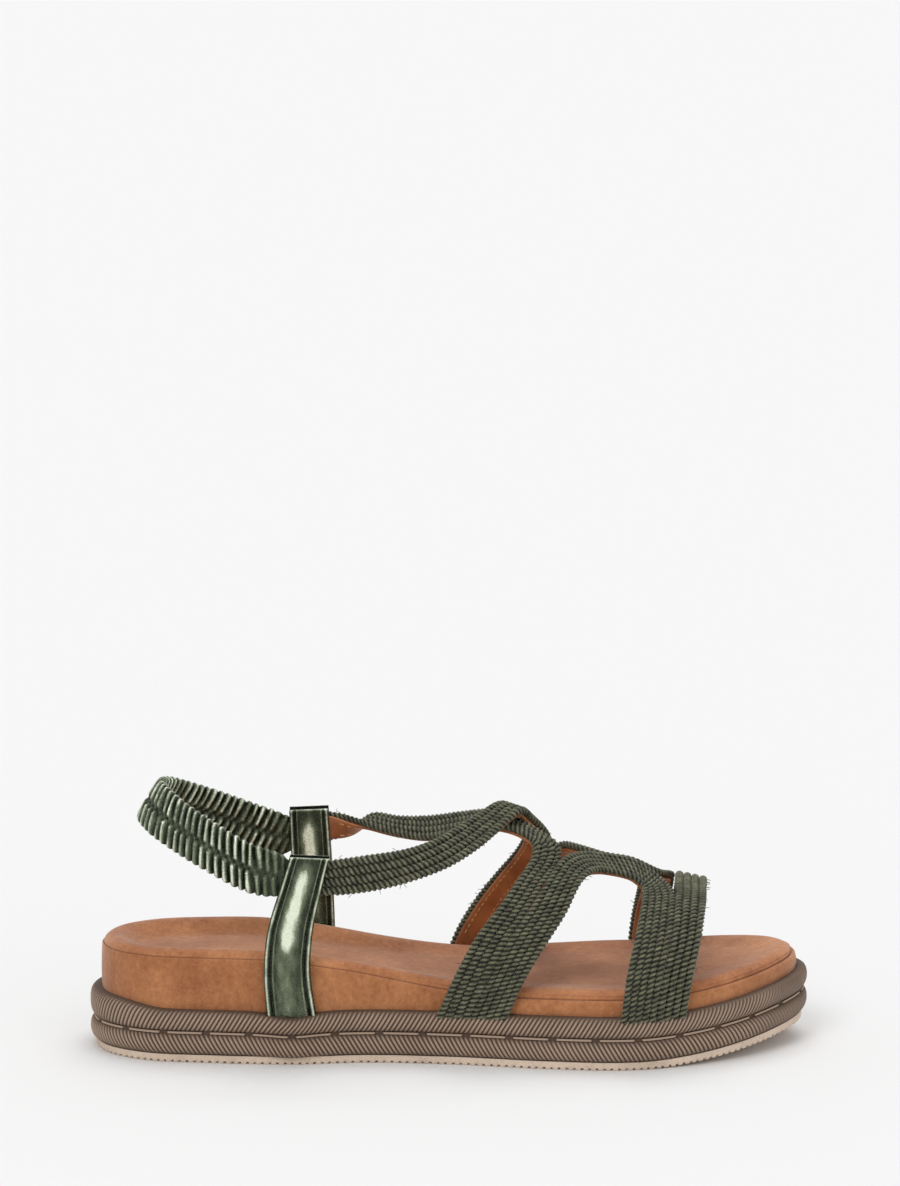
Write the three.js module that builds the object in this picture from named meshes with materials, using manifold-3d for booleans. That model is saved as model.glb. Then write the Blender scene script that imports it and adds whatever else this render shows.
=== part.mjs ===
// Strappy slingback flatform sandal for the right foot, EU size 38, as an assembly of its real pieces.
// Millimetres. +X runs from heel to toe, +Z is up, and -Y is the outer (lateral) side of the foot.
import * as THREE from "three";
import { mergeVertices } from "three/addons/utils/BufferGeometryUtils.js";
import Module from "manifold-3d";

const wasm = await Module();
wasm.setup();

// ---------------------------------------------------------------- driving dimensions
const LENGTH = 258; // sole unit, heel to toe
const OUTLINE_STEPS = 72; // samples round the sole, an even number
const TOE_SPRING = 8; // how far the toe tip is lifted
const TOE_SPRING_START = 195; // where the lift begins, from the heel
const TOE_SPRING_POWER = 1.6;

const OUTSOLE_THICKNESS = 2.9;
const OUTSOLE_INSET = 1.8;
const TREAD_PITCH = 9;
const TREAD_WIDTH = 2;
const TREAD_DEPTH = 1.1;
const RIM_BOTTOM = 3.2;
const RIM_GROOVE = 11;
const SHELF = 18.9; // top of the rim and of the block inside it
const RIM_WALL = 8.5; // the rim's thickness, outside to inside
const HEEL_RISE = 2.6; // how much higher the rim's lip stands behind the heel

const FOOTBED_INSET = 4.2; // sole outline to the footbed's side
const FOOTBED_BOTTOM = 19.2;
const BOARD_THICKNESS = 1.5;
const COVER_THICKNESS = 1.1;
const FOAM_THICKNESS = 3;
const HEEL_HEIGHT = 37.2; // top of the footbed's side at the heel
const FOREFOOT_HEIGHT = 24.3; // and at the ball of the foot
const WEDGE_START = 55;
const WEDGE_END = 150;

const GAP = 0.3; // clearance between pieces that touch
const CORD_RADIUS = 1;
const LINING_THICKNESS = 1;
const LINING_TOP = -(CORD_RADIUS + 0.6); // the lining's outer face, below the cords' centres
const WALL_CLEARANCE = 0.7;
const STANDOFF = WALL_CLEARANCE + LINING_THICKNESS - LINING_TOP; // side of the footbed to the cords' centres
const STRAP_FOOT = 19.8; // where cords and ankle straps stop, on the rim
const TAIL_BOTTOM = 19.45; // the strap tails under the footbed
const TAIL_LENGTH = 8;

const LEATHER = 1; // thickness of each layer of an ankle strap
const ELASTIC_THICKNESS = 1.2;
const RUCHED_THICKNESS = 4.4;

const COLOURS = {
  outsole: ["#bfa692", 0.75, 0],
  rim: ["#7d6555", 0.6, 0],
  foam: ["#d8d2c4", 0.9, 0],
  board: ["#a98f6b", 0.9, 0],
  suede: ["#b26a3c", 0.95, 0],
  lining: ["#b5652f", 0.7, 0],
  cord: ["#343a26", 0.8, 0],
  metallic: ["#3f5136", 0.3, 0.7],
  elastic: ["#22241f", 0.9, 0],
};

// ---------------------------------------------------------------- plain helpers
const smooth = (from, to, x) => THREE.MathUtils.smoothstep(x, from, to);

function toeSpring(x) {
  const share = Math.max(0, (x - TOE_SPRING_START) / (LENGTH - TOE_SPRING_START));
  return TOE_SPRING * share ** TOE_SPRING_POWER;
}

const sandal = new THREE.Group();
sandal.name = "sandal";

function addNode(name, finish, geometry) {
  const [color, roughness, metalness] = COLOURS[finish];
  const mesh = new THREE.Mesh(geometry, new THREE.MeshStandardMaterial({ color, roughness, metalness }));
  mesh.name = name;
  sandal.add(mesh);
}

// A closed geometry from points and triangles, turned so that its faces point out.
function closedGeometry(points, triangles) {
  const corner = ([a, b, c]) => points[a].dot(points[b].clone().cross(points[c]));
  const volume = triangles.reduce((sum, triangle) => sum + corner(triangle), 0);
  const facing = volume < 0 ? triangles.map(([a, b, c]) => [a, c, b]) : triangles;
  const geometry = new THREE.BufferGeometry().setFromPoints(points);
  geometry.setIndex(facing.flat());
  return geometry;
}

function toSolid(geometry) {
  const bare = geometry.clone();
  bare.deleteAttribute("normal");
  bare.deleteAttribute("uv");
  const merged = mergeVertices(bare, 1e-4);
  return new wasm.Manifold(
    new wasm.Mesh({
      numProp: 3,
      vertProperties: merged.attributes.position.array,
      triVerts: new Uint32Array(merged.index.array),
    }),
  );
}

function fromSolid(solid) {
  const mesh = solid.getMesh();
  const geometry = new THREE.BufferGeometry();
  geometry.setAttribute("position", new THREE.BufferAttribute(new Float32Array(mesh.vertProperties), 3));
  geometry.setIndex(new THREE.BufferAttribute(mesh.triVerts, 1));
  return geometry;
}

// Cuts every cutter out of a geometry, and drops any crumb that two cuts leave between them.
function cutAll(geometry, cutters) {
  const cut = cutters.reduce((solid, cutter) => solid.subtract(toSolid(cutter)), toSolid(geometry));
  const pieces = cut.decompose().sort((a, b) => b.volume() - a.volume());
  return fromSolid(pieces[0]);
}

// ---------------------------------------------------------------- the sole's outline
const HEEL_POINT = [0, 0];
const TOE_POINT = [LENGTH, 8.5];
const LATERAL_SIDE = [
  [5, -17], [20, -28.5], [45, -33], [74, -35], [100, -32.5], [130, -35],
  [163, -41], [190, -43], [213, -37.5], [233, -27], [247.8, -13.5], [255.6, -2],
];
const MEDIAL_SIDE = [
  [5, 17], [20, 28.5], [45, 32.5], [74, 31.5], [100, 31.5], [130, 37],
  [163, 44.5], [192, 49.5], [218, 48.5], [237.6, 41], [250.2, 30.5], [256.4, 19],
];
const outline = new THREE.CatmullRomCurve3(
  [HEEL_POINT, ...LATERAL_SIDE, TOE_POINT, ...MEDIAL_SIDE.toReversed()]
    .map(([x, y]) => new THREE.Vector3(x, y, 0)),
  true,
  "centripetal",
);

// The outline's points moved inwards by inset, at a height that may depend on x.
function loop(inset, height) {
  return Array.from({ length: OUTLINE_STEPS }, (_, i) => {
    const t = i / OUTLINE_STEPS;
    const point = outline.getPoint(t);
    const tangent = outline.getTangent(t);
    const x = point.x - tangent.y * inset;
    const y = point.y + tangent.x * inset;
    const z = typeof height === "function" ? height(x) : height;
    return new THREE.Vector3(x, y, z + toeSpring(x));
  });
}

function wallsBetween(lower, upper) {
  return Array.from({ length: OUTLINE_STEPS }, (_, i) => {
    const next = (i + 1) % OUTLINE_STEPS;
    return [[lower + i, lower + next, upper + next], [lower + i, upper + next, upper + i]];
  }).flat();
}

// Closes a loop across the sole, from the outer side to the inner side.
function cap(start, facesUp) {
  const triangles = [];
  for (let i = 0; i < OUTLINE_STEPS / 2; i++) {
    const [a, b] = [i, i + 1];
    const [c, d] = [OUTLINE_STEPS - b, (OUTLINE_STEPS - a) % OUTLINE_STEPS];
    if (b !== c) triangles.push([a, b, c]);
    if (a !== d) triangles.push([a, c, d]);
  }
  return triangles.map(([a, b, c]) => (facesUp ? [a, b, c] : [a, c, b]).map((v) => v + start));
}

// A plate whose side runs through the loops from the bottom up.
function plate(loops) {
  const triangles = [...cap(0, false), ...cap((loops.length - 1) * OUTLINE_STEPS, true)];
  for (let k = 0; k + 1 < loops.length; k++)
    triangles.push(...wallsBetween(k * OUTLINE_STEPS, (k + 1) * OUTLINE_STEPS));
  return closedGeometry(loops.flat(), triangles);
}

// A ring whose section runs through the loops and closes on itself.
function ring(loops) {
  const triangles = loops.flatMap((_, k) =>
    wallsBetween(k * OUTLINE_STEPS, ((k + 1) % loops.length) * OUTLINE_STEPS),
  );
  return closedGeometry(loops.flat(), triangles);
}

// A point beside the footbed's side: outwards of it by stand, at that x. side is -1 lateral, +1 medial.
function besideFootbed(x, side, stand, z) {
  const inset = FOOTBED_INSET - stand;
  let best = null;
  for (let i = 0; i <= 400; i++) {
    const t = side < 0 ? i / 800 : 1 - i / 800;
    const point = outline.getPoint(t);
    const tangent = outline.getTangent(t);
    const found = new THREE.Vector3(point.x - tangent.y * inset, point.y + tangent.x * inset, z);
    if (!best || Math.abs(found.x - x) < Math.abs(best.x - x)) best = found;
  }
  return best;
}

// ---------------------------------------------------------------- the sole unit
function outsole() {
  const bottom = loop(OUTSOLE_INSET + 0.8, 0);
  const edge = loop(OUTSOLE_INSET, 0.9);
  const top = loop(OUTSOLE_INSET, OUTSOLE_THICKNESS);
  const cutters = [];
  for (let x = 22; x < TOE_SPRING_START - 5; x += TREAD_PITCH) {
    const groove = new THREE.BoxGeometry(TREAD_WIDTH, 120, 2 * TREAD_DEPTH);
    cutters.push(groove.translate(x, 0, 0));
  }
  return cutAll(plate([bottom, edge, top]), cutters);
}

function sidewallRim() {
  const lip = (base, share) => (x) => base + HEEL_RISE * share * (1 - smooth(4, 30, x));
  return ring([
    loop(RIM_WALL, RIM_BOTTOM),
    loop(2, RIM_BOTTOM),
    loop(0.6, 4.3),
    loop(0, 7),
    loop(0.5, 9.8),
    loop(1.5, RIM_GROOVE),
    loop(0.5, 12.3),
    loop(0, 14.6),
    loop(0.7, lip(17.2, 0.5)),
    loop(2.3, lip(18.6, 0.9)),
    loop(FOOTBED_INSET - GAP, lip(SHELF, 1)),
    loop(FOOTBED_INSET - GAP + 0.1, SHELF),
    loop(RIM_WALL, SHELF),
  ]);
}

const innerBlock = () => plate([loop(RIM_WALL + GAP, RIM_BOTTOM), loop(RIM_WALL + GAP, SHELF)]);

// ---------------------------------------------------------------- the footbed
const sideTop = (x) =>
  FOREFOOT_HEIGHT + (HEEL_HEIGHT - FOREFOOT_HEIGHT) * (1 - smooth(WEDGE_START, WEDGE_END, x));

// Height of the footbed's surface at a distance inwards from its side: a rounded
// shoulder, then a shallow dish.
function footbedSurface(inwards) {
  return (x) => {
    const forefoot = smooth(60, 150, x);
    const shoulder = (1.9 + 1.3 * forefoot) * Math.sin((Math.PI / 2) * Math.min(1, inwards / 5));
    const dish = (3.4 - 2.4 * forefoot) * smooth(5, 17, inwards);
    return sideTop(x) + shoulder - dish;
  };
}

const under = (surface, depth) => (x) => surface(x) - depth;
const FOOTBED_STEPS = [0.9, 2.6, 5, 9, 15];

function sockCover() {
  const tops = FOOTBED_STEPS.map((s) => loop(FOOTBED_INSET + s, footbedSurface(s)));
  const bottoms = FOOTBED_STEPS.map((s) =>
    loop(FOOTBED_INSET + Math.max(s, 2), under(footbedSurface(s), COVER_THICKNESS)),
  );
  return plate([...bottoms.toReversed(), ...tops]);
}

function footbedFoam() {
  const steps = FOOTBED_STEPS.slice(1);
  const top = COVER_THICKNESS + GAP;
  const tops = steps.map((s) => loop(FOOTBED_INSET + Math.max(s, 3.2), under(footbedSurface(s), top)));
  const bottom = loop(FOOTBED_INSET + 3.2, under(footbedSurface(9), top + FOAM_THICKNESS));
  return plate([bottom, ...tops]);
}

function footbedCore() {
  const inset = FOOTBED_INSET + COVER_THICKNESS + GAP;
  const depth = COVER_THICKNESS + FOAM_THICKNESS + 2 * GAP;
  const top = (x) => Math.max(footbedSurface(9)(x) - depth - 0.3, FOOTBED_BOTTOM + 1.9);
  return plate([
    loop(inset, FOOTBED_BOTTOM + BOARD_THICKNESS + GAP),
    loop(inset, (x) => top(x) - 0.5),
    loop(inset + 2.5, top),
  ]);
}

const insoleBoard = () => {
  const inset = FOOTBED_INSET + COVER_THICKNESS + GAP;
  return plate([loop(inset, FOOTBED_BOTTOM), loop(inset, FOOTBED_BOTTOM + BOARD_THICKNESS)]);
};

function sideWrap() {
  const inner = FOOTBED_INSET + COVER_THICKNESS;
  return ring([
    loop(inner, FOOTBED_BOTTOM),
    loop(FOOTBED_INSET, FOOTBED_BOTTOM),
    loop(FOOTBED_INSET, under(sideTop, 1)),
    loop(FOOTBED_INSET + 0.35, under(sideTop, 0.25)),
    loop(inner, under(sideTop, 0.6)),
  ]);
}

// ---------------------------------------------------------------- bands: straps, tapes and the heel loop
// A band lies between two edge curves. Each station gives a point of the first edge and one of the second.
class Band {
  constructor(stations, turn) {
    this.edges = [0, 3].map((k) => {
      const points = stations.map((s) => new THREE.Vector3(...s.slice(k, k + 3)));
      return new THREE.CatmullRomCurve3(points);
    });
    this.turn = turn; // +1 or -1, so that heights are measured away from the foot
  }

  // The point at t along the band, at a share of its width, and a height above it.
  point(t, share, height) {
    const [first, second] = this.edges.map((edge) => edge.getPoint(t));
    const along = this.edges[0].getTangent(t).add(this.edges[1].getTangent(t));
    const across = second.clone().sub(first);
    const outwards = across.clone().cross(along).normalize().multiplyScalar(this.turn * height);
    return first.addScaledVector(across, share).add(outwards);
  }

  // One ring of points at t, from [share, height] pairs.
  section(t, corners) {
    return corners.map(([share, height]) => this.point(t, share, height));
  }
}

const spread = (count, from = 0, to = 1) =>
  Array.from({ length: count + 1 }, (_, i) => from + ((to - from) * i) / count);

// A solid through rings of equally many points, closed at both ends.
function loft(rings) {
  const size = rings[0].length;
  const triangles = [];
  for (let k = 0; k + 1 < rings.length; k++)
    for (let i = 0; i < size; i++) {
      const next = (i + 1) % size;
      const [a, b, c, d] = [k * size + i, k * size + next, (k + 1) * size + next, (k + 1) * size + i];
      triangles.push([a, b, c], [a, c, d]);
    }
  const last = (rings.length - 1) * size;
  for (let i = 1; i + 1 < size; i++) triangles.push([0, i + 1, i], [last, last + i, last + i + 1]);
  return closedGeometry(rings.flat(), triangles);
}

// A sleeve: as loft, with a second set of rings for the hollow that runs through it.
function sleeve(outer, inner) {
  const size = outer[0].length;
  const hollow = outer.length * size;
  const triangles = [];
  for (let k = 0; k + 1 < outer.length; k++)
    for (let i = 0; i < size; i++) {
      const next = (i + 1) % size;
      const [a, b, c, d] = [k * size + i, k * size + next, (k + 1) * size + next, (k + 1) * size + i];
      triangles.push([a, b, c], [a, c, d]);
      triangles.push([hollow + a, hollow + c, hollow + b], [hollow + a, hollow + d, hollow + c]);
    }
  const last = (outer.length - 1) * size;
  for (let i = 0; i < size; i++) {
    const next = (i + 1) % size;
    triangles.push([i, hollow + next, next], [i, hollow + i, hollow + next]);
    const [a, b] = [last + i, last + next];
    triangles.push([a, b, hollow + b], [a, hollow + b, hollow + a]);
  }
  return closedGeometry([...outer.flat(), ...inner.flat()], triangles);
}

// ---------------------------------------------------------------- cord tapes of the upper
// A station on the rim, beside the footbed, between two values of x.
function strapFoot(first, second, side, stand = STANDOFF) {
  return [first, second].flatMap((x) => besideFootbed(x, side, stand, STRAP_FOOT + toeSpring(x)).toArray());
}

// Each tape is cords side by side on a strip of lining. Its stations run along the centres of the cords.
const TAPES = {
  // outer ankle strap, over the instep, down to the inner side of the sole
  instep_lateral: {
    cords: 4,
    turn: 1,
    footed: [false, true],
    stations: [
      [80.9, -31.6, 72.6, 80.9, -31.9, 61.6],
      [87, -31.4, 73, 87, -32.2, 61.3],
      [100, -30.5, 74.6, 101, -32.6, 62.8],
      [112, -27.5, 75.8, 115, -31, 65.8],
      [122, -21.5, 77.6, 128.5, -27, 70.2],
      [131, -13.5, 80.6, 139, -20.3, 75.6],
      [139.5, -5, 84.2, 147.5, -12, 81.2],
      [146.5, 3.5, 86.2, 154.5, -4, 85.2],
      [151.6, 9, 83.2, 158.8, 3, 81],
      [155.2, 13.2, 77.4, 163.6, 8.6, 75],
      [155.8, 17.2, 71.8, 165.2, 13.6, 69.6],
      [153, 23, 65, 162.3, 20.3, 63.8],
      [145.5, 29, 54.5, 155.6, 28.6, 54],
      [138.5, 32.9, 44.5, 149, 34.2, 44.2],
      [131.5, 36, 32, 142.8, 37.8, 32],
      strapFoot(126, 137.7, 1),
    ],
  },
  // inner ankle strap, over the instep under the other tape, down to the outer side of the sole
  instep_medial: {
    cords: 4,
    turn: -1,
    footed: [false, true],
    stations: [
      [79, 31.6, 77, 79, 31.9, 67.3],
      [85, 31.4, 77.2, 85, 32.3, 67],
      [92.5, 29, 75.8, 92.5, 36, 68.8],
      [100, 26.5, 73.2, 100.5, 36.4, 75.2],
      [109, 22, 71.4, 110.5, 31.4, 75.4],
      [119, 16.5, 70.6, 122, 24.8, 77],
      [129, 9.5, 73.5, 134, 17.5, 80],
      [138, 2, 78, 144, 9.8, 82.2],
      [146, -5, 79.9, 152.5, 3, 80.9],
      [153.5, -9, 78.8, 161.3, -2.8, 77],
      [158.5, -12.3, 75.6, 167.5, -6.5, 72.9],
      [158.3, -16, 71.2, 167.8, -11.8, 68.8],
      [153, -23.5, 64.3, 162.3, -21.3, 63.2],
      [145.5, -28.8, 54.5, 155.8, -29.4, 54.2],
      [138.3, -31.8, 45.4, 149.1, -33.7, 45],
      [131, -34.2, 32.5, 142.4, -36.2, 32.3],
      strapFoot(124.4, 135.6, -1),
    ],
  },
  // outer side of the sole, along the middle of the foot, down beside the toes
  centre_lateral: {
    cords: 5,
    turn: 1,
    footed: [true, true],
    stations: [
      strapFoot(136.4, 148.6, -1),
      [143.2, -35.7, 32.3, 155, -37.3, 32],
      [149.8, -33.9, 45, 163, -34.6, 44.8],
      [156.6, -29.8, 54.2, 169.5, -30, 54],
      [163.1, -21.7, 62.9, 174.8, -24, 63.4],
      [168.7, -13.5, 69.3, 178.5, -18.5, 66],
      [175.5, -4.9, 70, 183, -12.4, 65.4],
      [184, -0.6, 68.4, 188, -10.1, 64.2],
      [194, -0.6, 66.6, 194.3, -11, 62.3],
      [203.4, -4.2, 61.4, 197.6, -13.6, 59.6],
      [208.2, -14.2, 57.9, 197.3, -19.8, 57],
      [207.6, -25.4, 53.6, 196.2, -27, 53.2],
      [206, -35, 45.3, 194, -35.6, 45.3],
      [203.2, -39.8, 34.3, 191.2, -40.8, 34],
      strapFoot(200.6, 188.9, -1),
    ],
  },
  centre_medial: {
    cords: 5,
    turn: -1,
    footed: [true, true],
    stations: [
      strapFoot(138.5, 152, 1),
      [143.6, 37.6, 32, 157, 39.6, 32],
      [149.8, 34.9, 44.2, 163.2, 35.8, 44.2],
      [156.4, 29.2, 54, 169.5, 30, 54],
      [163.1, 21, 62.8, 174.8, 23.6, 63.6],
      [168.7, 13.5, 69.3, 178.5, 18.5, 66],
      [175.5, 4.9, 70, 183, 12.4, 65.4],
      [184, 0.6, 68.4, 188, 10.1, 64.2],
      [194, 0.6, 66.6, 194.3, 11, 62.3],
      [203.8, 4.2, 61.4, 198.1, 13.6, 59.6],
      [209.4, 15.2, 57.9, 198.8, 20.8, 57],
      [210.3, 28, 54, 198.9, 29.4, 53.7],
      [210.2, 39.4, 46.3, 198.2, 40.2, 46.3],
      [208.5, 46.8, 34.6, 196.4, 47.6, 34.6],
      strapFoot(207, 194.7, 1),
    ],
  },
  // over the toes, in front of the two tapes that come along the middle
  toe: {
    cords: 4,
    turn: 1,
    footed: [true, true],
    stations: [
      strapFoot(201.3, 211.3, -1),
      [203.9, -39.6, 34.3, 213.9, -37.2, 33.6],
      [206.7, -34.9, 45.3, 216.7, -32.9, 44.4],
      [208.3, -25.2, 53.6, 218.5, -23.8, 52.2],
      [209.4, -13, 57.9, 219.7, -12.2, 55.7],
      [210.1, 0.5, 58.9, 220.4, 0.5, 56.4],
      [211, 14.5, 57.9, 221.3, 13.8, 55.7],
      [211.7, 28, 54, 222.3, 26.7, 52.4],
      [211.7, 39.3, 46.3, 222.4, 37.8, 45],
      [210, 46.8, 34.6, 220.7, 45.4, 34],
      strapFoot(207.7, 218.3, 1),
    ],
  },
};

const TAPE_STEPS_PER_STATION = 2.3;
const CORD_SIDES = 5;
const ANKLE_SHARE = 0.075; // where a tape's lining starts, clear of the ankle strap that holds its cords

// One cord of a tape, as a plain rod along its centre line.
function cord(band, share, steps) {
  const rings = spread(steps).map((t) => {
    const width = band.edges[0].getPoint(t).distanceTo(band.edges[1].getPoint(t));
    const corners = Array.from({ length: CORD_SIDES }, (_, i) => {
      const angle = (2 * Math.PI * (i + 0.5)) / CORD_SIDES;
      return [share + (CORD_RADIUS * Math.cos(angle)) / width, CORD_RADIUS * Math.sin(angle)];
    });
    return band.section(t, corners);
  });
  return loft(rings);
}

// Where a strap stands on the sole: its two edges, and the directions along the sole and under the footbed.
function standing(band, end) {
  const feet = [0, 1].map((share) => band.point(end, share, 0));
  const across = feet[1].clone().sub(feet[0]).setZ(0).normalize();
  const inwards = new THREE.Vector3(-across.y, across.x, 0);
  if (inwards.y * feet[0].y > 0) inwards.negate();
  const at = (edge, sideways, distance, height) => {
    const point = feet[edge].clone().addScaledVector(across, sideways).addScaledVector(inwards, distance);
    return point.setZ(TAIL_BOTTOM + height + toeSpring(point.x));
  };
  return at;
}

// Two rings that turn a strip of leather under the footbed. It starts at a depth below the cords' centres.
function tail(band, end, start, thickness) {
  const at = standing(band, end);
  const ringAt = (outer, inner) => [
    at(0, 0.9, outer, 0),
    at(1, -0.9, outer, 0),
    at(1, -0.9, inner, thickness),
    at(0, 0.9, inner, thickness),
  ];
  const tip = start + thickness + TAIL_LENGTH;
  return [ringAt(start, start + thickness), ringAt(tip, tip)];
}

// Room for a strap's tail in the pieces above it.
function tailRoom(band, end) {
  const at = standing(band, end);
  const reach = STANDOFF + TAIL_LENGTH + 1;
  const ringAt = (edge, sideways) => [
    at(edge, sideways, -1, -0.4),
    at(edge, sideways, reach, -0.4),
    at(edge, sideways, reach, 1.4),
    at(edge, sideways, -1, 1.4),
  ];
  return loft([ringAt(0, -0.5), ringAt(1, 0.5)]);
}

// The strip of lining under a tape, with a tail under the footbed at each end that stands on the sole.
function lining(band, steps, footed) {
  const inner = LINING_TOP - LINING_THICKNESS;
  const corners = [[0.08, LINING_TOP], [0.92, LINING_TOP], [0.92, inner], [0.08, inner]];
  const footShare = 0.35 / steps; // keeps the strip's last upright section a little above its tail
  const from = footed[0] ? footShare : ANKLE_SHARE;
  const to = footed[1] ? 1 - footShare : 1;
  const rings = spread(steps, from, to).map((t) => band.section(t, corners));
  if (footed[0]) rings.unshift(...tail(band, 0, -LINING_TOP, LINING_THICKNESS).toReversed());
  if (footed[1]) rings.push(...tail(band, 1, -LINING_TOP, LINING_THICKNESS));
  return loft(rings);
}

// ---------------------------------------------------------------- ankle straps
// Two layers of leather that hold the ends of the tapes and of the heel strap between them near their top.
const ANKLE_STAND = 1.75;
const ANKLE_STRAPS = {
  lateral: {
    turn: 1,
    stations: [
      strapFoot(64.5, 82, -1, ANKLE_STAND),
      [63.6, -32.9, 33, 80, -33, 33],
      [64.9, -33, 48, 80.9, -33, 48],
      [69.8, -32.3, 64.5, 84.3, -32.3, 64],
      [73, -31.8, 75, 86.8, -31.8, 74.4],
    ],
  },
  medial: {
    turn: -1,
    stations: [
      strapFoot(71.6, 86.8, 1, ANKLE_STAND),
      [71.8, 30.4, 33, 86.9, 30.4, 33],
      [71.6, 31.4, 48, 86.4, 31.4, 48],
      [70.9, 32, 66, 85.4, 32, 66],
      [70.4, 31.8, 78.6, 84.6, 31.8, 79.2],
    ],
  },
};

function ankleLayer(band, outer) {
  const rings = spread(12, outer ? 0 : 0.06).map((t) => {
    const half = 0.68 + 2.2 * smooth(0.42, 0.62, t);
    const top = (outer ? half : -half) + LEATHER / 2;
    return band.section(t, [[0, top], [1, top], [1, top - LEATHER], [0, top - LEATHER]]);
  });
  if (!outer) rings.unshift(...tail(band, 0, 0.18, LEATHER).toReversed());
  return loft(rings);
}

// ---------------------------------------------------------------- heel strap
const HEEL_STATIONS = [
  [77, -31.7, 71.4, 77, -31.7, 63.8],
  [73.5, -31.6, 73.2, 72.5, -31.7, 62],
  [69.5, -31.2, 75.9, 66.5, -31.7, 60.2],
  [60, -30.3, 78.5, 56.5, -30.8, 62.6],
  [48, -26.4, 84.4, 43.5, -26.6, 68.6],
  [37, -18.4, 90, 31, -19.4, 74.6],
  [29.6, -9.2, 94, 22, -10.4, 79.2],
  [26.6, 0.3, 95.6, 18.2, 0, 81.6],
  [29.6, 9.4, 94.3, 22, 10.4, 79.6],
  [37, 18.4, 90.4, 31, 19.4, 75.2],
  [48, 25.8, 85.2, 43.5, 26.4, 69.4],
  [60, 29.9, 79.9, 56.5, 30.8, 63.8],
  [69, 31, 76.6, 66, 31.7, 60.8],
  [73, 31.6, 74.2, 72, 31.7, 63],
  [76.5, 31.7, 72.6, 76.5, 31.7, 64.8],
];
const HEEL_STEPS = 44;
const heelBand = new Band(HEEL_STATIONS, -1);

// Rounded section of the heel strap, thinner where it runs between the layers of the ankle straps.
function heelSection(t, thickness, margin) {
  const inside = 1 - smooth(0.14, 0.2, Math.min(t, 1 - t));
  const half = THREE.MathUtils.lerp(thickness / 2, Math.min(thickness / 2, 1.2), inside);
  const low = margin;
  const high = 1 - margin;
  const bevel = 0.09;
  return heelBand.section(t, [
    [low, -half * 0.45], [low + bevel, -half], [high - bevel, -half], [high, -half * 0.45],
    [high, half * 0.45], [high - bevel, half], [low + bevel, half], [low, half * 0.45],
  ]);
}

const HEEL_END = 0.1; // share of the strap that is its flat, stitched end

function heelCover() {
  const places = spread(HEEL_STEPS, HEEL_END + 0.005, 1 - HEEL_END - 0.005);
  const outer = places.map((t) => heelSection(t, RUCHED_THICKNESS, 0));
  const inner = places.map((t) => heelSection(t, ELASTIC_THICKNESS + 2 * GAP, 0.08));
  return sleeve(outer, inner);
}

function heelElastic() {
  const places = spread(HEEL_STEPS, HEEL_END + 0.007, 1 - HEEL_END - 0.007);
  return loft(places.map((t) => heelSection(t, ELASTIC_THICKNESS, 0.11)));
}

// A flat end of the strap, held between the layers of an ankle strap, where it can turn.
const heelEnd = (from, to) => loft(spread(5, from, to).map((t) => heelSection(t, 1.6, 0.03)));

// ---------------------------------------------------------------- assembly
const tapes = Object.entries(TAPES).map(([name, { cords, stations, turn, footed }]) => ({
  name,
  cords,
  footed,
  band: new Band(stations, turn),
  steps: Math.round(stations.length * TAPE_STEPS_PER_STATION),
}));
const ankles = Object.entries(ANKLE_STRAPS).map(([side, { stations, turn }]) => ({
  side,
  band: new Band(stations, turn),
}));

const rooms = [
  ...tapes.flatMap(({ band, footed }) =>
    [0, 1].filter((end) => footed[end]).map((end) => tailRoom(band, end))),
  ...ankles.map(({ band }) => tailRoom(band, 0)),
];

addNode("outsole", "outsole", outsole());
addNode("sidewall_rim", "rim", sidewallRim());
addNode("midsole_block", "foam", innerBlock());
addNode("insole_board", "board", cutAll(insoleBoard(), rooms));
addNode("footbed_core", "foam", footbedCore());
addNode("footbed_foam", "foam", footbedFoam());
addNode("footbed_side_wrap", "suede", cutAll(sideWrap(), rooms));
addNode("footbed_sock", "suede", sockCover());
for (const { name, cords, band, steps, footed } of tapes) {
  addNode(`${name}_lining`, "lining", lining(band, steps, footed));
  for (let i = 0; i < cords; i++) {
    addNode(`${name}_cord_${i + 1}`, "cord", cord(band, (i + 0.5) / cords, steps));
  }
}
for (const { side, band } of ankles) {
  addNode(`ankle_strap_${side}_outer`, "metallic", ankleLayer(band, true));
  addNode(`ankle_strap_${side}_inner`, "metallic", ankleLayer(band, false));
}
addNode("heel_strap_cover", "metallic", heelCover());
addNode("heel_strap_elastic", "elastic", heelElastic());
addNode("heel_strap_end_lateral", "metallic", heelEnd(0, HEEL_END));
addNode("heel_strap_end_medial", "metallic", heelEnd(1 - HEEL_END, 1));

// The origin is on the ground, at the middle of the sole's length and width.
sandal.updateMatrixWorld(true);
const bounds = new THREE.Box3().setFromObject(sandal);
const middle = bounds.getCenter(new THREE.Vector3());
sandal.position.set(-middle.x, -middle.y, -bounds.min.z);

export default sandal;
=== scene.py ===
"""Looks of a strappy cord sandal for the right foot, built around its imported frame.

Lengths are millimetres in the shoe's own frame: x from the heel, y positive towards the inner side,
z from the ground. Workbench.to_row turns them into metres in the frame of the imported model.
"""

import logging
import math
from dataclasses import dataclass, field
from enum import Enum
from typing import Callable, Protocol, Sequence

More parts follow.
